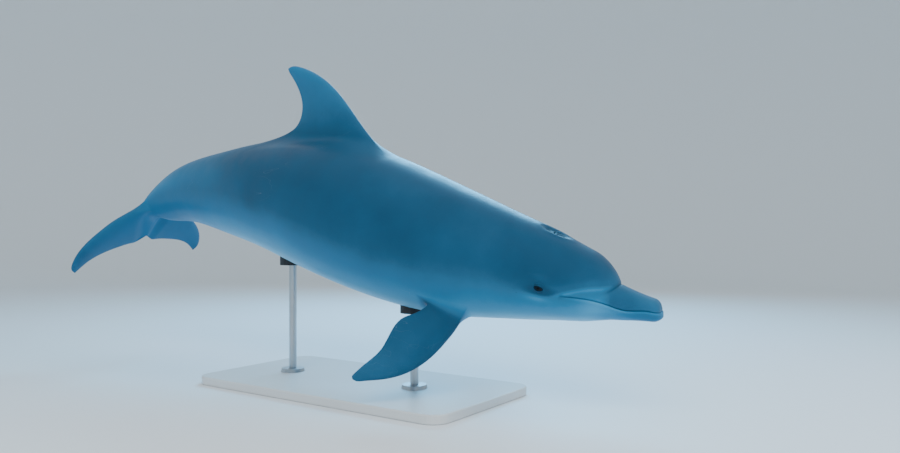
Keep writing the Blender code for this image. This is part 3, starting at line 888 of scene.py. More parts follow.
def grow(net: Net, grid: BodyGrid, numbers: Array, blade: Blade, at: Mounting) -> None:
    """Grows a blade out of a block of the body's grid.

    The flare is a cubic from each point of the block to its point of the first outline. It leaves
    along the skin and arrives along the blade. Outlines crowd towards the tip and close there.

    Args:
        net: takes the new points and faces.
        grid: the body's grid.
        numbers: point numbers of the grid.
        blade: shape of the fin.
        at: where it grows.
    """
    fine_step = 1e-4
    animal = grid.animal
    rows, columns = at.window.loop(grid.columns)
    base = grid.points[rows, columns]
    stations = grid.stations[rows]
    angles = grid.angles[rows, columns]
    centre_row = (at.window.first + at.window.last) // 2
    below = grid.points[centre_row, at.window.low % grid.columns]
    above = grid.points[centre_row, at.window.high % grid.columns]
    thick = unit(np.cross(at.span, at.back))
    thick = thick if np.dot(thick, above - below) > 0.0 else -thick
    chord, sign = blade.section(at.window.high - at.window.low, at.window.last - at.window.first)
    shares = np.sin(np.linspace(0.0, BACK, blade.rows))
    local = blade.rings(shares, chord, sign, animal.length)
    outlines = at.origin + local @ np.stack([at.span, at.back, thick])
    reach = outlines[0] - base
    size = np.linalg.norm(reach, axis=1, keepdims=True)
    normal = animal.normal(stations, angles, fine_step)
    slide = reach - (reach * normal).sum(axis=1, keepdims=True) * normal
    at_end = (rows == len(grid.stations) - 1)[:, None]
    leave = unit(np.where(at_end, reach, slide)) * size * blade.leave
    arrive = unit(outlines[1] - outlines[0]) * size * blade.arrive
    share = between(blade.flare_rows)[:, None, None]
    flare = ((2.0 * share**3 - 3.0 * share**2 + 1.0) * base
             + (share**3 - 2.0 * share**2 + share) * leave
             + (3.0 * share**2 - 2.0 * share**3) * outlines[0]
             + (share**3 - share**2) * arrive)
    fade = smooth(share[..., 0], 0.0, blade.flare_tone)
    tones = blade.tone + (blade.tip_tone - blade.tone) * shares
    flare_rings = net.add(flare, station=stations, angle=angles, bare=1.0, fin=fade,
                          fin_tone=blade.tone)
    blade_rings = net.add(outlines[:-1], station=stations, angle=angles, bare=1.0, fin=1.0,
                          fin_tone=tones[:-1, None])
    tip = net.add(outlines[-1].mean(axis=0)[None], station=stations[0], angle=angles[0], bare=1.0,
                  fin=1.0, fin_tone=blade.tip_tone)
    net.close([numbers[rows, columns], *flare_rings, *blade_rings], tip)


@dataclass(frozen=True)
class Fins:
    """The dorsal fin, the flippers and the flukes."""

    dorsal: Blade = Blade(
        lead=((-0.030, -0.070), (-0.004, -0.021), (0.022, 0.0162), (0.056, 0.0518),
              (0.084, 0.0856), (0.1012, 0.121), (0.1078, 0.149), (0.1074, 0.1658),
              (0.1040, 0.1726)),
        trail=((-0.030, 0.300), (-0.015, 0.252), (0.005, 0.187), (0.020, 0.1556), (0.036, 0.1450),
               (0.058, 0.1434), (0.080, 0.1537), (0.0945, 0.1660), (0.1004, 0.1710),
               (0.1040, 0.1726)),
        lead_start=0.34, trail_start=0.56, root_half=0.0120, tip_half=0.0020, taper=0.8, tone=0.06,
        tip_tone=0.36)
    dorsal_line: tuple[float, float] = (0.425, 0.585)
    dorsal_block: tuple[float, float] = (0.402, 0.648)
    dorsal_spread: float = math.radians(24.0)
    flipper: Blade = Blade(
        lead=((-0.045, -0.014), (-0.015, -0.0250), (0.016, -0.0330), (0.053, -0.0388),
              (0.087, -0.0356), (0.118, -0.0222), (0.136, -0.0105), (0.1428, -0.0050),
              (0.1445, -0.0010)),
        trail=((-0.045, 0.016), (0.010, 0.016), (0.031, 0.0165), (0.052, 0.022), (0.070, 0.0180),
               (0.097, 0.0066), (0.124, 0.0046), (0.1385, 0.0034), (0.1435, 0.0018),
               (0.1445, -0.0010)),
        lead_start=0.30, trail_start=0.32, root_half=0.0120, tip_half=0.0015, taper=0.7, tone=0.05,
        tip_tone=0.10)
    flipper_station: float = 0.250
    flipper_block: tuple[float, float] = (0.214, 0.286)
    flipper_spread: float = math.radians(15.0)
    flipper_root_depth: float = 0.97
    flipper_sweep: float = math.radians(20.0)
    flipper_twist: float = math.radians(33.5)
    droop_right: float = math.radians(39.0)
    droop_left: float = math.radians(24.5)
    fluke: Blade = Blade(
        lead=((0.000, -0.086), (0.020, -0.0776), (0.042, -0.0655), (0.068, -0.0515),
              (0.090, -0.034), (0.1088, -0.0155), (0.1220, 0.004), (0.1286, 0.0235),
              (0.1276, 0.0392), (0.1204, 0.0466)),
        trail=((0.000, -0.010), (0.008, 0.002), (0.020, 0.0032), (0.048, 0.0068),
               (0.078, 0.0150), (0.100, 0.0265), (0.1204, 0.0466)),
        lead_start=0.24, trail_start=0.20, root_half=0.0112, tip_half=0.0012, taper=0.8, tone=0.20,
        tip_tone=0.18, rows=42)
    fluke_block: tuple[float, float] = (0.908, 1.0)
    fluke_spread: float = math.radians(38.0)
    fluke_shift: float = 0.005

    @staticmethod
    def block(grid: BodyGrid, ends: tuple[float, float], angle: float, spread: float) -> Window:
        """The block of the grid between two stations, and as far to both sides of an angle."""
        return grid.window(*ends, angle - spread, angle + spread)

    def dorsal_mounting(self, grid: BodyGrid) -> Mounting:
        """The fin on the back, in the plane of symmetry.

        Args:
            grid: the body's grid.

        Returns:
            Where it grows.
        """
        animal = grid.animal
        top = animal.point(np.array(self.dorsal_line), BACK)
        left = animal.spine(np.array(self.dorsal_line[0]))[2]
        back = unit(top[1] - top[0])
        window = self.block(grid, self.dorsal_block, BACK, self.dorsal_spread)
        return Mounting(window, top[0], unit(np.cross(left, back)), back)

    def flipper_mounting(self, grid: BodyGrid, side: Side) -> Mounting:
        """A flipper, held out, down and a little back, with its leading edge turned down.

        Args:
            grid: the body's grid.
            side: which flipper.

        Returns:
            Where it grows.
        """
        animal = grid.animal
        centre, ahead, left, up = animal.spine(np.array(self.flipper_station))
        angle = side.angle(-FLIPPER_DROP)
        skin = animal.point(self.flipper_station, angle)
        root = centre + (skin - centre) * self.flipper_root_depth
        droop = self.droop_left if side is Side.LEFT else self.droop_right
        outward = math.cos(droop) * left * side.value - math.sin(droop) * up
        span = unit(math.cos(self.flipper_sweep) * outward - math.sin(self.flipper_sweep) * ahead)
        level = unit(-ahead + np.dot(ahead, span) * span)
        twist = self.flipper_twist * side.value
        back = math.cos(twist) * level + math.sin(twist) * np.cross(span, level)
        window = self.block(grid, self.flipper_block, angle, self.flipper_spread)
        return Mounting(window, root, span, back)

    def fluke_mounting(self, grid: BodyGrid, side: Side) -> Mounting:
        """Half of the tail fin, level with the end of the spine.

        Args:
            grid: the body's grid.
            side: which half.

        Returns:
            Where it grows.
        """
        centre, ahead, left, _ = grid.animal.spine(np.array(1.0))
        window = self.block(grid, self.fluke_block, side.angle(0.0), self.fluke_spread)
        return Mounting(window, centre - self.fluke_shift * left, left * side.value, -ahead)

    def mountings(self, grid: BodyGrid) -> list[tuple[Blade, Mounting]]:
        """Places every fin.

        Args:
            grid: the body's grid.

        Returns:
            Each fin with where it grows.
        """
        found = [(self.dorsal, self.dorsal_mounting(grid))]
        for side in Side:
            found.append((self.flipper, self.flipper_mounting(grid, side)))
            found.append((self.fluke, self.fluke_mounting(grid, side)))
        return found


# ------------------------------------------------------------------------------------ openings
@dataclass(frozen=True)
class Patch:
    """Flat local map of the skin round one point: x ahead and iy up round the ring, in metres."""

    station: float
    angle: float

    def scales(self, animal: Animal) -> tuple[float, float]:
        """Measures small steps along and round the body at the centre.

        Args:
            animal: the body.

        Returns:
            Metres for one share of length and for one radian.
        """
        step = 1e-3
        near = np.array([self.station - step, self.station + step])
        turn = np.array([self.angle - step, self.angle + step])
        along = np.diff(animal.point(near, self.angle), axis=0)
        around = np.diff(animal.point(self.station, turn), axis=0)
        return (float(np.linalg.norm(along)) / (2.0 * step),
                float(np.linalg.norm(around)) / (2.0 * step))

    def to_local(self, animal: Animal, places: Array, angles: Array) -> Array:
        """Complex local places, in metres, of stations and angles."""
        length, turn = self.scales(animal)
        return -(places - self.station) * length + 1j * wrapped(angles - self.angle) * turn


@dataclass(frozen=True)
class Pore(Patch):
    """Local map round a small opening, in confocal ellipses.

    With the map turned to the line of the opening, x + iy = focal cosh(m + i turn): lines of equal
    m are ellipses round the foci, and focal sinh(m) is the half-width across the line.
    """

    focal: float
    along: float
    across: float
    sizes: tuple[float, ...]
    tilt: float = 0.0
    spread_rings: int = 6
    bow: float = 0.0
    bow_width: float = 1.0
    block_shift: float = 0.0
    slit_depth: float = 0.0
    slit_width: float = 0.001
    rim_height: float = 0.0
    rim_place: float = 2.6
    rim_width: float = 1.5
    shade_width: float = 1.3

    def bend(self, local: Array) -> Array:
        """How far the slit's line bows forward at each place along it."""
        return 1j * self.bow * (1.0 - hump(local.real, self.bow_width))

    def depth(self, half: Array) -> tuple[Array, Array]:
        """A rounded rim, then a slot inside it; the rim's sizes are in widths of the slit.

        Args:
            half: half-widths of the ellipses.

        Returns:
            Push along the normals, and painted shade inside the slot.
        """
        inside = 1.0 - smooth(half, 0.0, self.slit_width)
        rim = hump(half / self.slit_width - self.rim_place, self.rim_width)
        push = self.rim_height * rim - self.slit_depth * inside**1.5
        return push, 1.0 - smooth(half, 0.0, self.shade_width * self.slit_width)

    def to_local(self, animal: Animal, places: Array, angles: Array) -> Array:
        """Complex local places, in metres, turned to the opening's line and bent along it."""
        local = super().to_local(animal, places, angles) * np.exp(-1j * self.tilt)
        return local + self.bend(local)

    def from_local(self, animal: Animal, local: Array) -> tuple[Array, Array]:
        """Goes back from the map to the body.

        Args:
            animal: the body.
            local: complex local places.

        Returns:
            Stations and angles.
        """
        length, turn = self.scales(animal)
        local = (local - self.bend(local)) * np.exp(1j * self.tilt)
        return self.station - local.real / length, self.angle + local.imag / turn

    def half_width(self, local: Array) -> Array:
        """Half-width, across the line of the opening, of the ellipse through each place."""
        return self.focal * np.sinh(np.abs(np.arccosh(local / self.focal).real))

    def window(self, grid: BodyGrid) -> Window:
        """The block of the grid that the rings fill."""
        length, turn = self.scales(grid.animal)
        return grid.window(self.station - (self.block_shift + self.along) / length,
                           self.station - (self.block_shift - self.along) / length,
                           self.angle - self.across / turn, self.angle + self.across / turn)

    def rings(self, grid: BodyGrid, window: Window) -> tuple[Array, Array, Array]:
        """Stations and angles of the rings inside the block.

        The first rings go evenly in m from the block's loop to the first size, and the others lie
        at the sizes, which are half-widths. On the way the turns even out, so that each point gets
        a partner across the line of the opening.

        Args:
            grid: the body's grid.
            window: the block.

        Returns:
            Stations, angles, and each point's partner.
        """
        rows, columns = window.loop(grid.columns)
        loop = self.to_local(grid.animal, grid.stations[rows], grid.angles[rows, columns])
        outer = np.arccosh(loop / self.focal)
        head = int(np.argmin(np.abs(outer.imag)))
        partner = (2 * head - np.arange(len(loop))) % len(loop)
        turn = np.exp(1j * outer.imag)
        even = turn + np.conj(turn[partner])
        even = even / np.abs(even)
        targets = np.arcsinh(np.asarray(self.sizes) / self.focal)[:, None]
        share = between(self.spread_rings)[:, None]
        level = np.concatenate([(1.0 - share) * outer.real + share * targets[0],
                                np.broadcast_to(targets, (len(targets), len(loop)))])
        blend = np.concatenate([share, np.ones_like(targets)])
        angle = np.angle((1.0 - blend) * turn + blend * even)
        stations, angles = self.from_local(grid.animal, self.focal * np.cosh(level + 1j * angle))
        return stations, angles, partner


def add_pore(net: Net, grid: BodyGrid, numbers: Array, pore: Pore, window: Window) -> None:
    """Fills a block of the grid with the rings of a small opening.

    The last ring is pressed flat on the line of the opening, where its points meet their partners.

    Args:
        net: takes the new points and faces.
        grid: the body's grid.
        numbers: point numbers of the grid.
        pore: the opening.
        window: its block.
    """
    rows, columns = window.loop(grid.columns)
    stations, angles, partner = pore.rings(grid, window)
    half = pore.half_width(pore.to_local(grid.animal, stations, angles))
    # Shade is painted inside each slit and hole.
    push, pit = pore.depth(half)
    rings = net.add(grid.animal.point(stations, angles), station=stations, angle=angles,
                    push=push, pit=pit)
    rings[-1] = np.minimum(rings[-1], rings[-1, partner])
    net.join(np.stack([numbers[rows, columns], *rings])[::-1])


@dataclass(frozen=True)
class EyeSocket:
    """Eyelids and socket round one eyeball."""

    side: Side
    station: float = 0.132
    elevation: float = math.radians(14.0)
    half_length: float = 0.0140
    half_height: float = 0.0066
    tilt: float = math.radians(-6.0)
    reach: float = 0.047
    reach_across: float = 0.04042
    lid: float = 0.0012
    clearance: float = 0.0006
    blend: float = 0.0040
    spread_rings: int = 9
    lid_rings: tuple[float, ...] = (0.0128, 0.0113, 0.0101, 0.0092, 0.0083, 0.0072, 0.0062, 0.0053,
                                    0.0046, 0.0040, 0.0033, 0.0026, 0.0019, 0.0013, 0.0008,
                                    0.0004, 0.0)
    margin: Table = ((0.0000, 1.0), (0.0003, 0.85), (0.0005, 0.55), (0.0005, 0.2))
    # Shade painted at the edge of the lids, where they meet the eyeball.
    margin_shade: Ridge = Ridge(0.0, 0.0010, 0.75)
    socket_rings: int = 7
    upper_folds: tuple[Ridge, ...] = (
        Ridge(0.0018, 0.0015, 0.0011), Ridge(0.0046, 0.0010, -0.0019),
        Ridge(0.0068, 0.0017, 0.0012), Ridge(0.0100, 0.0011, -0.0007),
    )
    lower_folds: tuple[Ridge, ...] = (
        Ridge(0.0022, 0.0019, 0.0009), Ridge(0.0062, 0.0016, -0.0010),
        Ridge(0.0098, 0.0024, 0.0006),
    )
    brow: Ridge = Ridge(0.024, 0.011, 0.0038)
    brow_length: float = 0.030
    corner: Ridge = Ridge(0.0215, 0.0040, -0.0012)
    corner_height: float = 0.0016
    upper_fade: tuple[float, float] = (0.001, 0.009)
    lower_fade: tuple[float, float] = (0.001, 0.010)
    wander: tuple[float, float] = (0.0007, 0.0004)

    @property
    def pore(self) -> Pore:
        """The map of ellipses round the opening, whose last ellipse is the edge of the lids."""
        return Pore(station=self.station, angle=self.side.angle(self.elevation),
                    focal=math.sqrt(self.half_length**2 - self.half_height**2),
                    along=self.reach, across=self.reach_across,
                    sizes=tuple(self.half_height + beyond for beyond in self.lid_rings),
                    tilt=self.tilt * self.side.value, spread_rings=self.spread_rings)

    def folds(self, local: Array, beyond: Array) -> Array:
        """Folds of the lids and the brow, in metres outwards.

        The upper lid has a deep fold and a shallow one above it, the lower lid a single soft one.
        They wander a little from the ellipses and die out at the corners.

        Args:
            local: complex places round the eye.
            beyond: distance outside the edge of the lids.

        Returns:
            How far the skin is raised.
        """
        rise = local.imag * self.side.value
        turn = np.arctan2(rise, local.real)
        coarse, fine = self.wander
        off = beyond + coarse * np.sin(3.0 * turn + 0.6) + fine * np.sin(7.0 * turn)
        above = sum(fold.over(off) for fold in self.upper_folds) * smooth(rise, *self.upper_fade)
        below = sum(fold.over(off) for fold in self.lower_folds) * smooth(-rise, *self.lower_fade)
        brow = self.brow.over(rise) * hump(local.real, self.brow_length)
        corner = self.corner.over(np.abs(local.real)) * hump(rise, self.corner_height)
        return above + below + brow + corner

    def add(self, net: Net, grid: BodyGrid, numbers: Array, window: Window, ball: Array,
            radius: float) -> None:
        """Fills the eye's block with lids that hug the eyeball and a socket behind it.

        The lids are the skin raised along the eye's axis over a sphere a little larger than the
        eyeball. At the opening they turn in and run round behind the ball.

        Args:
            net: takes the new points and faces.
            grid: the body's grid.
            numbers: point numbers of the grid.
            window: the eye's block.
            ball: centre of the eyeball.
            radius: radius of the eyeball.
        """
        animal = grid.animal
        pore = self.pore
        axis = animal.normal(pore.station, pore.angle)
        rows, columns = window.loop(grid.columns)
        stations, angles, _ = pore.rings(grid, window)
        local = pore.to_local(animal, stations, angles)
        half = pore.half_width(local)
        skin = animal.point(stations, angles)
        away = skin - ball
        height = away @ axis
        off = np.linalg.norm(away - height[..., None] * axis, axis=-1)
        cover = np.sqrt(np.maximum((radius + self.lid) ** 2 - off**2, 0.0))
        beyond = half - self.half_height
        lift = blended(cover, height, self.blend) - height + self.folds(local, beyond)
        # The lids' edge is painted in shade.
        rings = net.add(skin + lift[..., None] * axis, station=stations, angle=angles,
                        pit=self.margin_shade.over(beyond))
        edge = skin[-1] + lift[-1][:, None] * axis
        toward = edge - ball
        turned = []
        for inward, share in self.margin:
            length = radius + self.clearance + self.lid * share
            shrink = 1.0 - inward / self.half_height
            along = (toward @ axis)[:, None] * axis
            aim = along + (toward - along) * shrink
            turned.append(ball + unit(aim) * length)
        last = unit(turned[-1] - ball)
        start = np.arccos(np.clip(last @ axis, -1.0, 1.0))
        flat = unit(last - (last @ axis)[:, None] * axis)
        share = between(self.socket_rings)[:, None]
        bend = (start + (math.pi - start) * share)[..., None]
        hollow = ball + (np.cos(bend) * axis + np.sin(bend) * flat) * (radius + self.clearance)
        # The socket behind the eyeball is painted in full shade.
        inner = {"station": pore.station, "angle": pore.angle, "pit": 1.0, "bare": 1.0}
        turned_rings = net.add(np.stack(turned[1:]), **inner)
        hollow_rings = net.add(hollow, **inner)
        pole = net.add((ball - axis * (radius + self.clearance))[None], **inner)
        net.close([numbers[rows, columns], *rings, *turned_rings, *hollow_rings], pole)


# ------------------------------------------------------------------------------------ relief
@dataclass(frozen=True)
class Relief:
    """Shallow forms of the body's skin, raised or sunk along its normals, in metres."""

    mouth_depth: float = 0.0030
    mouth_width: float = 0.0013
    mouth_end: tuple[float, float] = (0.1000, 0.1090)
    mouth_start: float = 0.02
    mouth_start_share: float = 0.55
    mouth_shade: float = 0.55
    upper_lip: Ridge = Ridge(0.0042, 0.0030, 0.0010)
    lower_lip: Ridge = Ridge(-0.0050, 0.0038, 0.0014)
    corner: Ridge = Ridge(0.1065, 0.0030, 1.0)
    corner_height: float = 0.0060
    corner_depth: float = 0.0022
    corner_shade: float = 0.7
    jaw_lead: float = 0.0105
    jaw_lead_end: float = 0.045
    jaw_lead_rise: tuple[float, float] = (-0.004, 0.022)
    crease_depth: float = 0.0026
    crease_width: float = 0.0035
    crease_side: tuple[float, float] = (0.15, 0.80)
    crease_end: tuple[float, float] = (0.062, 0.100)
    crease_shade: float = 0.3
    crease_shade_end: tuple[float, float] = (0.052, 0.066)
    blowhole: Patch = Patch(BLOWHOLE_STATION, BACK)
    dish_depth: float = 0.0062
    dish_size: tuple[float, float] = (0.046, 0.0235)
    dish_wall: tuple[float, float] = (0.50, 1.20)
    dish_rim: Ridge = Ridge(1.30, 0.28, 0.0016)
    # Painted shade in the blowhole's dish, darkest in its middle.
    dish_shade: float = 0.40
    dish_shade_end: tuple[float, float] = (0.45, 1.15)
    flap: Ridge = Ridge(0.014, 0.024, 0.0026)
    flap_width: float = 0.020

    def mouth(self, grid: BodyGrid, stations: Array, points: Array) -> Array:
        """Height of the points above the closed lips, in metres."""
        centre, _, _, up = grid.animal.spine(stations)
        return ((points - centre) * up).sum(axis=-1) - grid.lips(stations)

    def height(self, grid: BodyGrid, stations: Array, angles: Array, points: Array
               ) -> tuple[Array, Array]:
        """How far the skin is raised, and how much shade is painted into its grooves and hollows.

        Args:
            grid: the body's grid.
            stations: stations of the points.
            angles: angles of the points.
            points: places of the points.

        Returns:
            Metres outwards, and 0 to 1.
        """
        animal = grid.animal
        above = self.mouth(grid, stations, points)
        near = 1.0 - smooth(stations, *self.mouth_end)
        start = self.mouth_start_share
        groove = (hump(above, self.mouth_width) * near
                  * (start + (1.0 - start) * smooth(stations, 0.0, self.mouth_start)))
        corner = self.corner.over(stations) * hump(above, self.corner_height)
        raised = ((self.upper_lip.over(above) + self.lower_lip.over(above)) * near
                  - self.mouth_depth * groove - self.corner_depth * corner)
        outer, inner = animal.form.ovals(stations, angles)
        fold = (hump((outer - inner) * animal.length, self.crease_width)
                * smooth(np.sin(angles), *self.crease_side))
        raised -= self.crease_depth * fold * (1.0 - smooth(stations, *self.crease_end))
        local = self.blowhole.to_local(animal, stations, angles)
        away = np.hypot(local.real / self.dish_size[0], local.imag / self.dish_size[1])
        raised -= self.dish_depth * (1.0 - smooth(away, *self.dish_wall))
        raised += self.dish_rim.over(away)
        raised += self.flap.over(local.real) * hump(local.imag, self.flap_width)
        # Painted shade at the bottom of the mouth line, in its corner, along the melon's crease and
        # in the blowhole's dish.
        dark = (self.mouth_shade * groove, self.corner_shade * corner * near,
                self.crease_shade * fold * (1.0 - smooth(stations, *self.crease_shade_end)),
                self.dish_shade * (1.0 - smooth(away, *self.dish_shade_end)))
        return raised, np.maximum.reduce(dark)

    def lead(self, grid: BodyGrid, stations: Array, points: Array) -> Array:
        """Forward shift that brings the tip of the lower jaw in front of the upper one.

        It grows with the depth below the lips and dies out along the jaw.

        Args:
            grid: the body's grid.
            stations: stations of the points.
            points: places of the points.

        Returns:
            The shift of each point.
        """
        below = smooth(-self.mouth(grid, stations, points), *self.jaw_lead_rise)
        fade = np.clip(1.0 - stations / self.jaw_lead_end, 0.0, 1.0) ** 2
        return (self.jaw_lead * below * fade)[:, None] * grid.animal.spine(stations)[1]


# ------------------------------------------------------------------------------------ markings
@dataclass(frozen=True)
class Tint:
    """A patch of one tone that is laid over the skin."""

    tone: float
    strength: float = 1.0

    def over(self, shade: Array, share: Array) -> Array:
        """Mixes it in: shade + (tone - shade) share strength."""
        return shade + (self.tone - shade) * share * self.strength


@dataclass(frozen=True)
class Markings:
    """The animal's colours as one value at each point, from 0 on the back to 1 on the belly.

    The cape's lower edge and the white's upper edge run along the body at elevations in degrees,
    and tables along the head give the stripes. Elevation counts from the side, up or down. Over the
    tail stock a painted haze and painted light from above lift the value, most on top.
    """

    cape: Table = (
        (0.060, 40.0), (0.100, 18.0), (0.150, 9.0), (0.200, 6.0), (0.260, 0.0), (0.350, -8.0),
        (0.470, -8.0), (0.590, -3.0), (0.740, 0.0), (0.850, -4.0), (0.950, -10.0),
    )
    white: Table = (
        (0.050, -36.0), (0.100, -32.0), (0.150, -42.0), (0.200, -54.0), (0.260, -62.0),
        (0.350, -62.0), (0.470, -60.0), (0.590, -60.0), (0.740, -84.0), (0.850, -108.0),
        (0.950, -120.0),
    )
    shades: Table = (
        (-0.80, 0.02), (-0.20, 0.08), (0.00, 0.16), (0.35, 0.38), (0.70, 0.62), (1.00, 0.84),
        (1.60, 1.00),
    )
    stripe: Table = (
        (0.0506, 64.8), (0.0594, 42.8), (0.0693, 31.7), (0.0905, 19.2), (0.1086, 10.2),
        (0.1348, 1.2),
    )
    beak: Table = ((0.000, 0.17), (0.030, 0.12), (0.050, 0.12), (0.075, 0.22))
    jaw: Table = ((0.000, 0.19), (0.025, 0.26), (0.060, 0.50), (0.100, 0.82))
    # Painted haze over the tail stock, and painted light from above on its top: the low and the
    # high value.
    tail_tone: tuple[float, float] = (0.26, 0.40)
    tail: tuple[float, float] = (0.600, 0.930)
    tail_top_light_rise: tuple[float, float] = (5.0, 50.0)
    stripe_start: tuple[float, float] = (0.049, 0.056)
    stripe_end: tuple[float, float] = (0.112, 0.136)
    stripe_width: float = 0.0060
    stripe_tint: Tint = Tint(0.55, 0.65)
    veil: Ridge = Ridge(0.021, 0.012, 1.0)
    veil_tint: Tint = Tint(0.30, 0.20)
    eye_place: tuple[float, float] = (0.1300, 11.0)
    eye_size: tuple[float, float] = (0.0190, 7.0)
    eye_tint: Tint = Tint(-0.02)
    crescent_along: Ridge = Ridge(0.133, 0.017, 1.0)
    crescent_across: Ridge = Ridge(1.5, 4.0, 1.0)
    crescent_tint: Tint = Tint(0.60, 0.55)
    beak_end: tuple[float, float] = (0.052, 0.066)
    jaw_end: tuple[float, float] = (0.055, 0.085)
    jaw_under: tuple[float, float] = (10.0, 60.0)
    jaw_under_lift: float = 0.14
    lip: Ridge = Ridge(-0.0045, 0.0035, 1.0)
    lip_end: tuple[float, float] = (0.085, 0.104)
    lip_tint: Tint = Tint(0.80, 0.20)

    def shade(self, grid: BodyGrid, stations: Array, angles: Array, above: Array) -> Array:
        """Lightness value of the body's skin, before the fins are laid over it.

        Args:
            grid: the body's grid.
            stations: stations of the points.
            angles: angles of the points.
            above: heights above the closed lips.

        Returns:
            Values from 0 to 1.
        """
        rise = np.degrees(np.arcsin(np.clip(np.sin(angles), -1.0, 1.0)))
        high = read(self.cape, stations)
        low = read(self.white, stations)
        shade = ramp(self.shades, (high - rise) / (high - low))
        girth = np.radians(1.0) * grid.animal.radius(stations, angles)
        off = (rise - read(self.stripe, stations)) * girth
        along = smooth(stations, *self.stripe_start) * (1.0 - smooth(stations, *self.stripe_end))
        shade = self.veil_tint.over(shade, self.veil.over(off) * along)
        shade = self.stripe_tint.over(shade, hump(off, self.stripe_width) * along)
        ahead = (stations - self.eye_place[0]) / self.eye_size[0]
        aside = (rise - self.eye_place[1]) / self.eye_size[1]
        shade = self.eye_tint.over(shade, np.exp(-((ahead**2 + aside**2) ** 1.5)))
        crescent = self.crescent_across.over(rise) * self.crescent_along.over(stations)
        shade = self.crescent_tint.over(shade, crescent)
        top = above > 0.0
        jaw = ramp(self.jaw, stations) + self.jaw_under_lift * smooth(-rise, *self.jaw_under)
        snout = np.where(top, ramp(self.beak, stations), jaw)
        shade += (snout - shade) * np.where(top, 1.0 - smooth(stations, *self.beak_end),
                                            1.0 - smooth(stations, *self.jaw_end))
        lip = self.lip.over(above) * (1.0 - smooth(stations, *self.lip_end))
        shade = self.lip_tint.over(shade, lip)
        # Painted haze and painted light from above over the tail stock, lighter still on top.
        low, high = self.tail_tone
        tail = low + (high - low) * smooth(rise, *self.tail_top_light_rise)
        return shade + (tail - shade) * smooth(stations, *self.tail)


# ------------------------------------------------------------------------------------ finishes
Colour = tuple[int, int, int]


@dataclass(frozen=True)
class Grain:
    """A noise: how fine it is, how many octaves it has, how strong they are, and its weight."""

    scale: float
    detail: float = 3.0
    rough: float = 0.5
    weight: float = 0.0


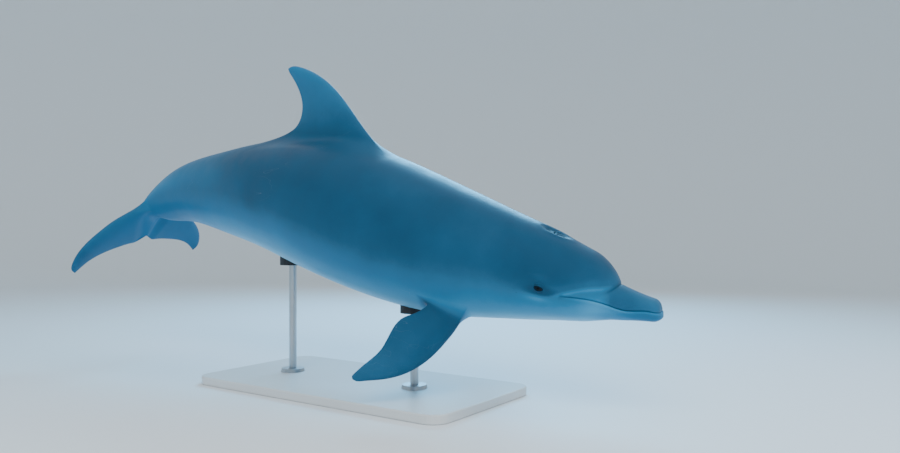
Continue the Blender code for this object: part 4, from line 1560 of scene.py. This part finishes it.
class Shader:
    """Short calls that build one node material."""

    def __init__(self, name: str) -> None:
        """Makes the material with its principled shader.

        Args:
            name: the material's name.
        """
        self.material = bpy.data.materials.new(name)
        self.material.use_nodes = True
        self.tree = self.material.node_tree
        self.surface = self.tree.nodes["Principled BSDF"]

    def node(self, kind: str, inputs: dict[str | int, object], **settings: object
             ) -> bpy.types.Node:
        """Adds a node.

        Args:
            kind: the node's type name.
            inputs: what goes in each named socket: a value, or another node's output.
            settings: properties of the node.

        Returns:
            The node.
        """
        made = self.tree.nodes.new(kind)
        for name, value in settings.items():
            setattr(made, name, value)
        for name, value in inputs.items():
            self.put(made.inputs[name], value)
        return made

    def put(self, socket: bpy.types.NodeSocket, value: object) -> None:
        """Links an output to a socket, or sets the socket's value."""
        if isinstance(value, bpy.types.NodeSocket):
            self.tree.links.new(value, socket)
        else:
            socket.default_value = value

    def set(self, **values: object) -> None:
        """Sets the principled shader's sockets, with _ for each blank in their names."""
        for name, value in values.items():
            self.put(self.surface.inputs[name.replace("_", " ")], value)

    def value(self, name: str) -> bpy.types.NodeSocket:
        """A named value of the mesh."""
        return self.node("ShaderNodeAttribute", {}, attribute_name=name).outputs["Fac"]

    def place(self) -> bpy.types.NodeSocket:
        """Object coordinates."""
        return self.node("ShaderNodeTexCoord", {}).outputs["Object"]

    def noise(self, place: object, grain: Grain) -> bpy.types.NodeSocket:
        """Noise from 0 to 1 around 0.5."""
        made = self.node("ShaderNodeTexNoise", {"Vector": place, "Scale": grain.scale,
                                                "Detail": grain.detail, "Roughness": grain.rough})
        return made.outputs["Fac"]

    def centred(self, noise: object, weight: float, base: object) -> bpy.types.NodeSocket:
        """The base plus the weighted noise about its middle: (noise - 0.5) weight + base."""
        return self.math("MULTIPLY_ADD", self.math("SUBTRACT", noise, 0.5), weight, base)

    def rough(self, noise: object, low: float, high: float) -> bpy.types.NodeSocket:
        """Roughness between two values that follows a noise."""
        return self.span(noise, 0.3, 0.7, low, high)

    def math(self, work: str, first: object, second: object = 0.0, third: object = 0.0
             ) -> bpy.types.NodeSocket:
        """One sum of one to three values."""
        made = self.node("ShaderNodeMath", {0: first, 1: second, 2: third}, operation=work)
        return made.outputs[0]

    def scaled(self, place: object, sizes: tuple[float, float, float]) -> bpy.types.NodeSocket:
        """Coordinates multiplied axis by axis."""
        made = self.node("ShaderNodeVectorMath", {0: place, 1: sizes}, operation="MULTIPLY")
        return made.outputs["Vector"]

    def span(self, value: object, low: float, high: float, start: float = 0.0, end: float = 1.0
             ) -> bpy.types.NodeSocket:
        """Maps low..high to start..end, smoothly and clamped."""
        made = self.node("ShaderNodeMapRange", {"Value": value, "From Min": low, "From Max": high,
                                                "To Min": start, "To Max": end},
                         interpolation_type="SMOOTHSTEP")
        return made.outputs["Result"]

    def mix(self, share: object, first: object, second: object) -> bpy.types.NodeSocket:
        """Mixes two colours, which the node takes in its sockets 6 and 7."""
        made = self.node("ShaderNodeMix", {0: share, 6: first, 7: second}, data_type="RGBA")
        return made.outputs[2]

    def ramp(self, value: object, stops: tuple[tuple[float, Colour], ...]
             ) -> bpy.types.NodeSocket:
        """Reads a row of colours.

        Args:
            value: where to read it.
            stops: places with their colours, in 0-255 display values.

        Returns:
            The colour.
        """
        made = self.node("ShaderNodeValToRGB", {"Fac": value})
        made.color_ramp.interpolation = "CARDINAL"
        elements = made.color_ramp.elements
        while len(elements) < len(stops):
            elements.new(0.5)
        for element, (place, colour) in zip(elements, stops):
            element.position = place
            element.color = linear(colour)
        return made.outputs["Color"]

    def bump(self, height: object, distance: float, strength: float = 1.0) -> None:
        """Gives the surface a fine relief, in metres."""
        made = self.node("ShaderNodeBump", {"Height": height, "Distance": distance,
                                            "Strength": strength})
        self.set(Normal=made.outputs["Normal"])


def linear(colour: Colour) -> tuple[float, float, float, float]:
    """Light values of a display colour: (c / 255) to the power 2.2."""
    red, green, blue = [(part / 255.0) ** 2.2 for part in colour]
    return red, green, blue, 1.0


@dataclass(frozen=True)
class SkinFinish:
    """Wet, smooth skin: dark above and pale below, with a few faint scratches."""

    stops: tuple[tuple[float, Colour], ...] = (
        (0.00, (34, 66, 90)), (0.16, (41, 88, 118)), (0.40, (49, 114, 152)),
        (0.66, (80, 149, 185)), (0.86, (116, 176, 206)), (1.00, (148, 198, 220)),
    )
    # Near-black colour of the shade painted into grooves, slits, the blowhole's dish and the eye
    # sockets.
    pit: Colour = (12, 20, 30)
    pit_roughness: float = 0.45
    scratch: Colour = (150, 170, 182)
    scratch_stretch: tuple[float, float, float] = (7.0, 30.0, 30.0)
    scratch_noise: Grain = Grain(1.0, 1.0)
    scratch_width: float = 0.0030
    scratch_strength: float = 0.22
    scratched: Grain = Grain(2.6, 2.0)
    scratched_span: tuple[float, float] = (0.56, 0.66)
    gloss: Colour = (120, 200, 240)
    cloud: Grain = Grain(3.2, 4.0, 0.55, 0.22)
    mottle: Grain = Grain(14.0, 5.0, 0.6, 0.10)
    grain: Grain = Grain(260.0, 3.0, 0.6, 0.05)
    ridges: Grain = Grain(90.0, 4.0, 0.65)
    grain_relief: float = 0.25

    def make(self) -> bpy.types.Material:
        """Builds the material.

        Scratches are thin lines where a stretched noise passes its middle, in a few places only.

        Returns:
            The material.
        """
        shader = Shader("wet_skin")
        place = shader.place()
        cloud, mottle, grain = [shader.noise(place, kind)
                                for kind in (self.cloud, self.mottle, self.grain)]
        tone = shader.centred(cloud, self.cloud.weight, shader.value("tone"))
        tone = shader.centred(mottle, self.mottle.weight, tone)
        tone = shader.centred(grain, self.grain.weight, tone)
        warped = shader.noise(shader.scaled(place, self.scratch_stretch), self.scratch_noise)
        lines = shader.math("ABSOLUTE", shader.math("SUBTRACT", warped, 0.5))
        thin = shader.span(lines, 0.0, self.scratch_width, self.scratch_strength, 0.0)
        sparse = shader.span(shader.noise(place, self.scratched), *self.scratched_span)
        colour = shader.mix(shader.math("MULTIPLY", thin, sparse), shader.ramp(tone, self.stops),
                            linear(self.scratch))
        # Painted shade: the colour turns near-black, and rougher, in the shaded grooves and
        # openings.
        pit = shader.value("pit")
        colour = shader.mix(pit, colour, linear(self.pit))
        rough = shader.math("MULTIPLY_ADD", pit, self.pit_roughness,
                            shader.rough(mottle, 0.42, 0.52))
        ridges = shader.noise(place, self.ridges)
        shader.bump(shader.math("MULTIPLY_ADD", grain, self.grain_relief, ridges), 0.00025, 0.6)
        shader.set(Base_Color=colour, Roughness=rough, IOR=1.38, Specular_IOR_Level=0.33)
        shader.set(Specular_Tint=linear(self.gloss))
        shader.set(Coat_Weight=0.15, Coat_Roughness=0.18, Coat_IOR=1.33)
        shader.set(Subsurface_Weight=0.06, Subsurface_Scale=0.006)
        return shader.material


@dataclass(frozen=True)
class EyeFinish:
    """A dark, wet eye: black pupil, deep blue-grey iris and a white only a little lighter."""

    pupil: Colour = (2, 4, 6)
    iris: Colour = (16, 38, 50)
    white: Colour = (14, 34, 46)
    streak: Grain = Grain(900.0, 3.0, 0.6)

    def make(self) -> bpy.types.Material:
        """Builds the material.

        Returns:
            The material.
        """
        shader = Shader("eye_wet")
        streak = shader.noise(shader.place(), self.streak)
        colour = shader.mix(streak, linear(self.iris), linear(self.pupil))
        colour = shader.mix(shader.value("white"), colour, linear(self.white))
        colour = shader.mix(shader.value("pupil"), colour, linear(self.pupil))
        shader.set(Base_Color=colour, Roughness=0.5, Specular_IOR_Level=0.1)
        shader.set(Coat_Weight=0.30, Coat_Roughness=0.05, Coat_IOR=1.34)
        return shader.material


@dataclass(frozen=True)
class BoardFinish:
    """Satin lacquer on the stand's board."""

    colour: Colour = (196, 200, 202)
    deeper: Colour = (189, 193, 194)
    cloud: Grain = Grain(2.4)
    peel: Grain = Grain(320.0, 2.0)

    def make(self) -> bpy.types.Material:
        """Builds the material.

        Returns:
            The material.
        """
        shader = Shader("satin_board")
        place = shader.place()
        cloud = shader.noise(place, self.cloud)
        colour = shader.mix(cloud, linear(self.colour), linear(self.deeper))
        shader.bump(shader.noise(place, self.peel), 0.00006, 0.5)
        shader.set(Base_Color=colour, Roughness=shader.rough(cloud, 0.34, 0.42))
        shader.set(Coat_Weight=0.25, Coat_Roughness=0.2)
        return shader.material


@dataclass(frozen=True)
class SteelFinish:
    """Brushed stainless steel, with the brush lines round the rods."""

    colour: Colour = (186, 190, 194)
    brush_stretch: tuple[float, float, float] = (6.0, 6.0, 900.0)
    brush: Grain = Grain(1.0, 4.0, 0.7, 0.16)
    smear: Grain = Grain(9.0)

    def make(self) -> bpy.types.Material:
        """Builds the material.

        Returns:
            The material.
        """
        shader = Shader("brushed_steel")
        place = shader.place()
        brush = shader.noise(shader.scaled(place, self.brush_stretch), self.brush)
        smear = shader.rough(shader.noise(place, self.smear), 0.20, 0.30)
        rough = shader.math("MULTIPLY_ADD", brush, self.brush.weight, smear)
        shader.bump(brush, 0.00004, 0.7)
        shader.set(Base_Color=linear(self.colour), Roughness=rough, Metallic=1.0)
        return shader.material


@dataclass(frozen=True)
class RubberFinish:
    """Black moulded rubber."""

    colour: Colour = (34, 35, 37)
    dusty: Colour = (47, 49, 51)
    grain: Grain = Grain(700.0, 3.0, 0.6)
    dust: Grain = Grain(18.0, 4.0, 0.5, 0.6)

    def make(self) -> bpy.types.Material:
        """Builds the material.

        Returns:
            The material.
        """
        shader = Shader("black_rubber")
        place = shader.place()
        dust = shader.noise(place, self.dust)
        colour = shader.mix(shader.math("MULTIPLY", dust, self.dust.weight), linear(self.colour),
                            linear(self.dusty))
        shader.bump(shader.noise(place, self.grain), 0.00012, 0.7)
        shader.set(Base_Color=colour, Roughness=shader.rough(dust, 0.55, 0.68))
        return shader.material


# ------------------------------------------------------------------------------------ the pieces
@dataclass
class Skin:
    """The whole skin as one closed net, with its relief and markings."""

    animal: Animal
    fins: Fins = field(default_factory=Fins)
    relief: Relief = field(default_factory=Relief)
    markings: Markings = field(default_factory=Markings)
    finish: SkinFinish = field(default_factory=SkinFinish)
    blowhole: Pore = Pore(
        station=BLOWHOLE_STATION, angle=BACK, focal=0.0225, along=0.048, across=0.044,
        sizes=(0.0150, 0.0115, 0.0090, 0.0070, 0.0054, 0.0042, 0.0032, 0.0024, 0.0017, 0.0012,
               0.0009, 0.0006, 0.0003, 0.0),
        tilt=BACK, spread_rings=5, bow=0.0225, bow_width=0.030, block_shift=0.015,
        slit_depth=0.0100, slit_width=0.0021, rim_height=0.0010)
    ear: Pore = Pore(
        station=0.157, angle=math.radians(3.0), focal=0.0008, along=0.016, across=0.016,
        sizes=(0.0050, 0.0036, 0.0026, 0.0018, 0.0012, 0.0008, 0.0004, 0.0),
        spread_rings=2, slit_depth=0.0025, slit_width=0.0010, rim_height=0.0003)
    navel: Pore = Pore(
        station=0.470, angle=-BACK, focal=0.0070, along=0.034, across=0.030,
        sizes=(0.0090, 0.0060, 0.0042, 0.0030, 0.0020, 0.0012, 0.0006, 0.0),
        spread_rings=2, slit_depth=0.0050, slit_width=0.0018, rim_height=0.0006)
    genital_slit: Pore = Pore(
        station=0.655, angle=-BACK, focal=0.048, along=0.070, across=0.030,
        sizes=(0.0110, 0.0075, 0.0052, 0.0036, 0.0024, 0.0015, 0.0007, 0.0),
        spread_rings=2, slit_depth=0.0070, slit_width=0.0017, rim_height=0.0014)
    anal_slit: Pore = Pore(
        station=0.712, angle=-BACK, focal=0.020, along=0.038, across=0.028,
        sizes=(0.0100, 0.0068, 0.0047, 0.0033, 0.0022, 0.0013, 0.0006, 0.0),
        spread_rings=2, slit_depth=0.0060, slit_width=0.0015, rim_height=0.0012)

    def pores(self) -> list[Pore]:
        """Every small opening, with the ear on both sides."""
        turned = replace(self.ear, angle=Side.RIGHT.angle(self.ear.angle))
        return [self.blowhole, self.ear, turned, self.navel, self.genital_slit, self.anal_slit]

    def build(self) -> bpy.types.Object:
        """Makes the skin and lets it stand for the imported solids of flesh.

        Returns:
            The finished piece.
        """
        grid = BodyGrid(self.animal)
        net = Net(station=0.0, angle=0.0, fin=0.0, fin_tone=0.0, push=0.0, pit=0.0, bare=0.0)
        fins = self.fins.mountings(grid)
        pores = [(pore, pore.window(grid)) for pore in self.pores()]
        sockets = [(socket, socket.pore.window(grid)) for socket in map(EyeSocket, Side)]
        blocks = [at.window for _, at in fins] + [window for _, window in pores + sockets]
        numbers = grid.add_to(net, blocks)
        for blade, at in fins:
            grow(net, grid, numbers, blade, at)
        for pore, window in pores:
            add_pore(net, grid, numbers, pore, window)
        for socket, window in sockets:
            socket.add(net, grid, numbers, window, *packed_eye(socket.side))
        points, faces, values = net.gather()
        points, tone, pit = self.surface(grid, points, faces, values)
        # The skin keeps its markings and the shade painted into its grooves and openings.
        skin = mesh_object("skin", points, faces, {"tone": tone, "pit": pit})
        skin.data.materials.append(self.finish.make())
        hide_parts(*FLESH)
        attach(skin, "root")
        return skin

    def surface(self, grid: BodyGrid, points: Array, faces: Array, values: dict[str, Array]
                ) -> tuple[Array, Array, Array]:
        """Raises the relief and reads the markings.

        Args:
            grid: the body's grid.
            points: places of the points.
            faces: the faces.
            values: the named values at the points.

        Returns:
            New places, the markings' values and the shade painted into grooves and openings.
        """
        stations = values["station"]
        angles = values["angle"]
        bare = 1.0 - values["bare"]
        raised, dark = self.relief.height(grid, stations, angles, points)
        above = self.relief.mouth(grid, stations, points)
        lead = self.relief.lead(grid, stations, points)
        normal = point_normals(points, faces)
        away = raised * bare + values["push"]
        moved = points + away[:, None] * normal + lead * bare[:, None]
        tone = self.markings.shade(grid, stations, angles, above)
        tone += (values["fin_tone"] - tone) * values["fin"]
        return moved, tone, np.maximum(values["pit"], dark * bare)


@dataclass
class Eye:
    """One eyeball with its cornea, iris and pupil."""

    side: Side
    animal: Animal
    rings: int = 56
    around: int = 64
    cornea: float = 0.0005
    cornea_angle: float = math.radians(20.0)
    iris_angle: float = math.radians(36.0)
    iris_edge: tuple[float, float] = (0.96, 1.06)
    pupil: tuple[float, float] = (math.radians(17.0), math.radians(10.0))
    pupil_edge: tuple[float, float] = (0.9, 1.1)

    def build(self, finish: bpy.types.Material) -> bpy.types.Object:
        """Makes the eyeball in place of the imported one.

        Rings run from the front pole to the back one. The cornea stands a bell curve of the
        angle from the axis above the ball.

        Args:
            finish: the eyes' material.

        Returns:
            The finished piece.
        """
        centre, radius = packed_eye(self.side)
        socket = EyeSocket(self.side)
        angle = socket.pore.angle
        axis = self.animal.normal(socket.station, angle)
        ahead = self.animal.spine(np.array(socket.station))[1]
        ahead = unit(ahead - np.dot(ahead, axis) * axis)
        upright = np.cross(axis, ahead)
        lean = np.linspace(0.0, math.pi, self.rings + 1)[1:-1, None]
        turn = np.arange(self.around) * FULL_TURN / self.around
        size = radius + self.cornea * hump(lean, self.cornea_angle)
        ring = np.cos(turn)[:, None] * ahead + np.sin(turn)[:, None] * upright
        body = centre + size[..., None] * (np.cos(lean)[..., None] * axis
                                           + np.sin(lean)[..., None] * ring)
        inside = lean * np.hypot(np.cos(turn) / self.pupil[0], np.sin(turn) / self.pupil[1])
        net = Net(pupil=0.0, white=0.0)
        front = net.add((centre + (radius + self.cornea) * axis)[None], pupil=1.0)
        rows = net.add(body, pupil=1.0 - smooth(inside, *self.pupil_edge),
                       white=smooth(lean / self.iris_angle, *self.iris_edge))
        back = net.add((centre - radius * axis)[None], white=1.0)
        poles = [np.full(self.around, pole[0]) for pole in (front, back)]
        net.join(np.stack([poles[0], *rows, poles[1]]))
        points, faces, values = net.gather()
        eye = mesh_object("eyeball_" + self.side.tag, points, faces, values)
        eye.data.materials.append(finish)
        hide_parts("eye_" + self.side.tag)
        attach(eye, "root")
        return eye


@dataclass
class Stand:
    """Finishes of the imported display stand, whose shapes stay as they are."""

    board: BoardFinish = field(default_factory=BoardFinish)
    steel: SteelFinish = field(default_factory=SteelFinish)
    rubber: RubberFinish = field(default_factory=RubberFinish)

    def dress(self) -> int:
        """Gives each part of the stand its material.

        Returns:
            How many parts there are.
        """
        finishes = {"stand_base": self.board.make(), "stand_pad": self.rubber.make()}
        steel = self.steel.make()
        parts = [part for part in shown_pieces() if part.name.startswith("stand_")]
        for part in parts:
            kind = "_".join(part.name.split("_")[:2])
            part.material_slots[0].material = finishes.get(kind, steel)
        return len(parts)


@dataclass(frozen=True)
class Lamp:
    """A soft rectangular lamp that faces the model, placed from its middle."""

    name: str
    offset: tuple[float, float, float]
    wide: float
    high: float
    power: float
    colour: tuple[float, float, float] = (1.0, 1.0, 1.0)
    mirrored: bool = False

    def hang(self, target: Vector) -> None:
        """Hangs the lamp.

        Args:
            target: middle of the model.
        """
        light = bpy.data.lights.new(self.name, "AREA")
        light.shape = "RECTANGLE"
        light.size = self.wide
        light.size_y = self.high
        light.energy = self.power
        light.color = self.colour
        lamp = bpy.data.objects.new(self.name, light)
        lamp.location = target + Vector(self.offset)
        lamp.rotation_euler = (-Vector(self.offset)).to_track_quat("-Z", "Y").to_euler()
        lamp.visible_glossy = self.mirrored
        bpy.context.scene.collection.objects.link(lamp)
        lamp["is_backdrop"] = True


@dataclass
class Studio:
    """Pale floor that rises into a round backdrop, soft lights and the camera."""

    floor_radius: float = 9.0
    floor_rings: tuple[float, ...] = (0.4, 1.0, 2.0, 4.0, 6.0)
    wall_height: float = 6.5
    bend: float = 3.5
    bend_rings: int = 24
    around: int = 96
    floor_colour: Colour = (214, 220, 224)
    floor_speck: Grain = Grain(30.0)
    lamps: tuple[Lamp, ...] = (
        Lamp("key", (-1.0, 2.5, 1.9), 2.2, 2.0, 190.0, (0.15, 0.60, 1.0), mirrored=True),
        Lamp("fill", (2.0, -3.4, 2.6), 3.0, 3.0, 190.0),
        Lamp("front", (3.6, 0.6, 2.0), 1.6, 2.0, 60.0),
    )
    sky: Colour = (226, 236, 242)
    sky_strength: float = 0.9
    lens: float = 31.2
    azimuth: float = math.radians(34.8)
    distance: float = 2.244
    beside: float = 0.607
    under: float = 0.246

    def build(self, target: Vector, tip: Array, floor: float) -> None:
        """Makes the surroundings.

        Args:
            target: middle of the model.
            tip: tip of the beak.
            floor: height of the floor.
        """
        self.backdrop(target, floor)
        for lamp in self.lamps:
            lamp.hang(target)
        world = bpy.data.worlds.new("sky")
        bpy.context.scene.world = world
        world.use_nodes = True
        sky = world.node_tree.nodes["Background"]
        sky.inputs["Color"].default_value = linear(self.sky)
        sky.inputs["Strength"].default_value = self.sky_strength
        self.camera(tip)

    def backdrop(self, target: Vector, floor: float) -> None:
        """The floor and its wall, turned round a vertical axis: flat, a quarter bend, upright.

        Args:
            target: middle of the model.
            floor: height of the floor.
        """
        flat_radius = self.floor_radius - self.bend
        flat = np.array(self.floor_rings) / self.floor_rings[-1] * flat_radius
        bend = np.linspace(0.0, BACK, self.bend_rings)[1:]
        out = np.concatenate([flat, flat_radius + self.bend * np.sin(bend), [self.floor_radius]])
        rise = np.concatenate([np.zeros(len(flat)), self.bend * (1.0 - np.cos(bend)),
                               [self.wall_height]])
        turn = np.arange(self.around) * FULL_TURN / self.around
        rows = np.stack([target.x + out[:, None] * np.cos(turn),
                         target.y + out[:, None] * np.sin(turn),
                         floor + rise[:, None] + 0.0 * turn], axis=-1)
        net = Net()
        numbers = net.add(rows)
        middle = net.add(np.array([[target.x, target.y, floor]]))
        net.join(np.stack([np.full(len(turn), middle[0]), *numbers])[::-1])
        ground = mesh_object("backdrop", *net.gather())
        shader = Shader("backdrop_paper")
        speck = shader.noise(shader.place(), self.floor_speck)
        shader.set(Base_Color=linear(self.floor_colour), Roughness=shader.rough(speck, 0.55, 0.62))
        ground.data.materials.append(shader.material)
        ground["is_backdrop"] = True

    def camera(self, tip: Array) -> None:
        """Hangs a level camera by the tip of the beak, which it sees low on the right.

        Args:
            tip: tip of the beak.
        """
        data = bpy.data.cameras.new("camera")
        data.lens = self.lens
        camera = bpy.data.objects.new("camera", data)
        ahead = np.array([-math.sin(self.azimuth), math.cos(self.azimuth), 0.0])
        right = np.array([math.cos(self.azimuth), math.sin(self.azimuth), 0.0])
        place = tip - ahead * self.distance - right * self.beside
        camera.location = Vector(place) + Vector((0.0, 0.0, self.under))
        camera.rotation_euler = (BACK, 0.0, self.azimuth)
        bpy.context.scene.collection.objects.link(camera)
        bpy.context.scene.camera = camera


def main() -> None:
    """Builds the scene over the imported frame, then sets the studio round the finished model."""
    logging.basicConfig(level=logging.INFO, format="%(name)s: %(message)s")
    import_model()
    animal = Animal.from_frame()
    LOG.info("body length %.3f m", animal.length)
    skin = Skin(animal).build()
    LOG.info("skin: %d points, %d faces", len(skin.data.vertices), len(skin.data.polygons))
    wet = EyeFinish().make()
    for side in Side:
        eye = Eye(side, animal).build(wet)
        LOG.info("%s: %d faces", eye.name, len(eye.data.polygons))
    LOG.info("stand: %d parts", Stand().dress())
    low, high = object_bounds()
    Studio().build((low + high) / 2.0, animal.tip, low.z)
    LOG.info("studio: floor, lamps and camera")


if __name__ == "__main__":
    main()
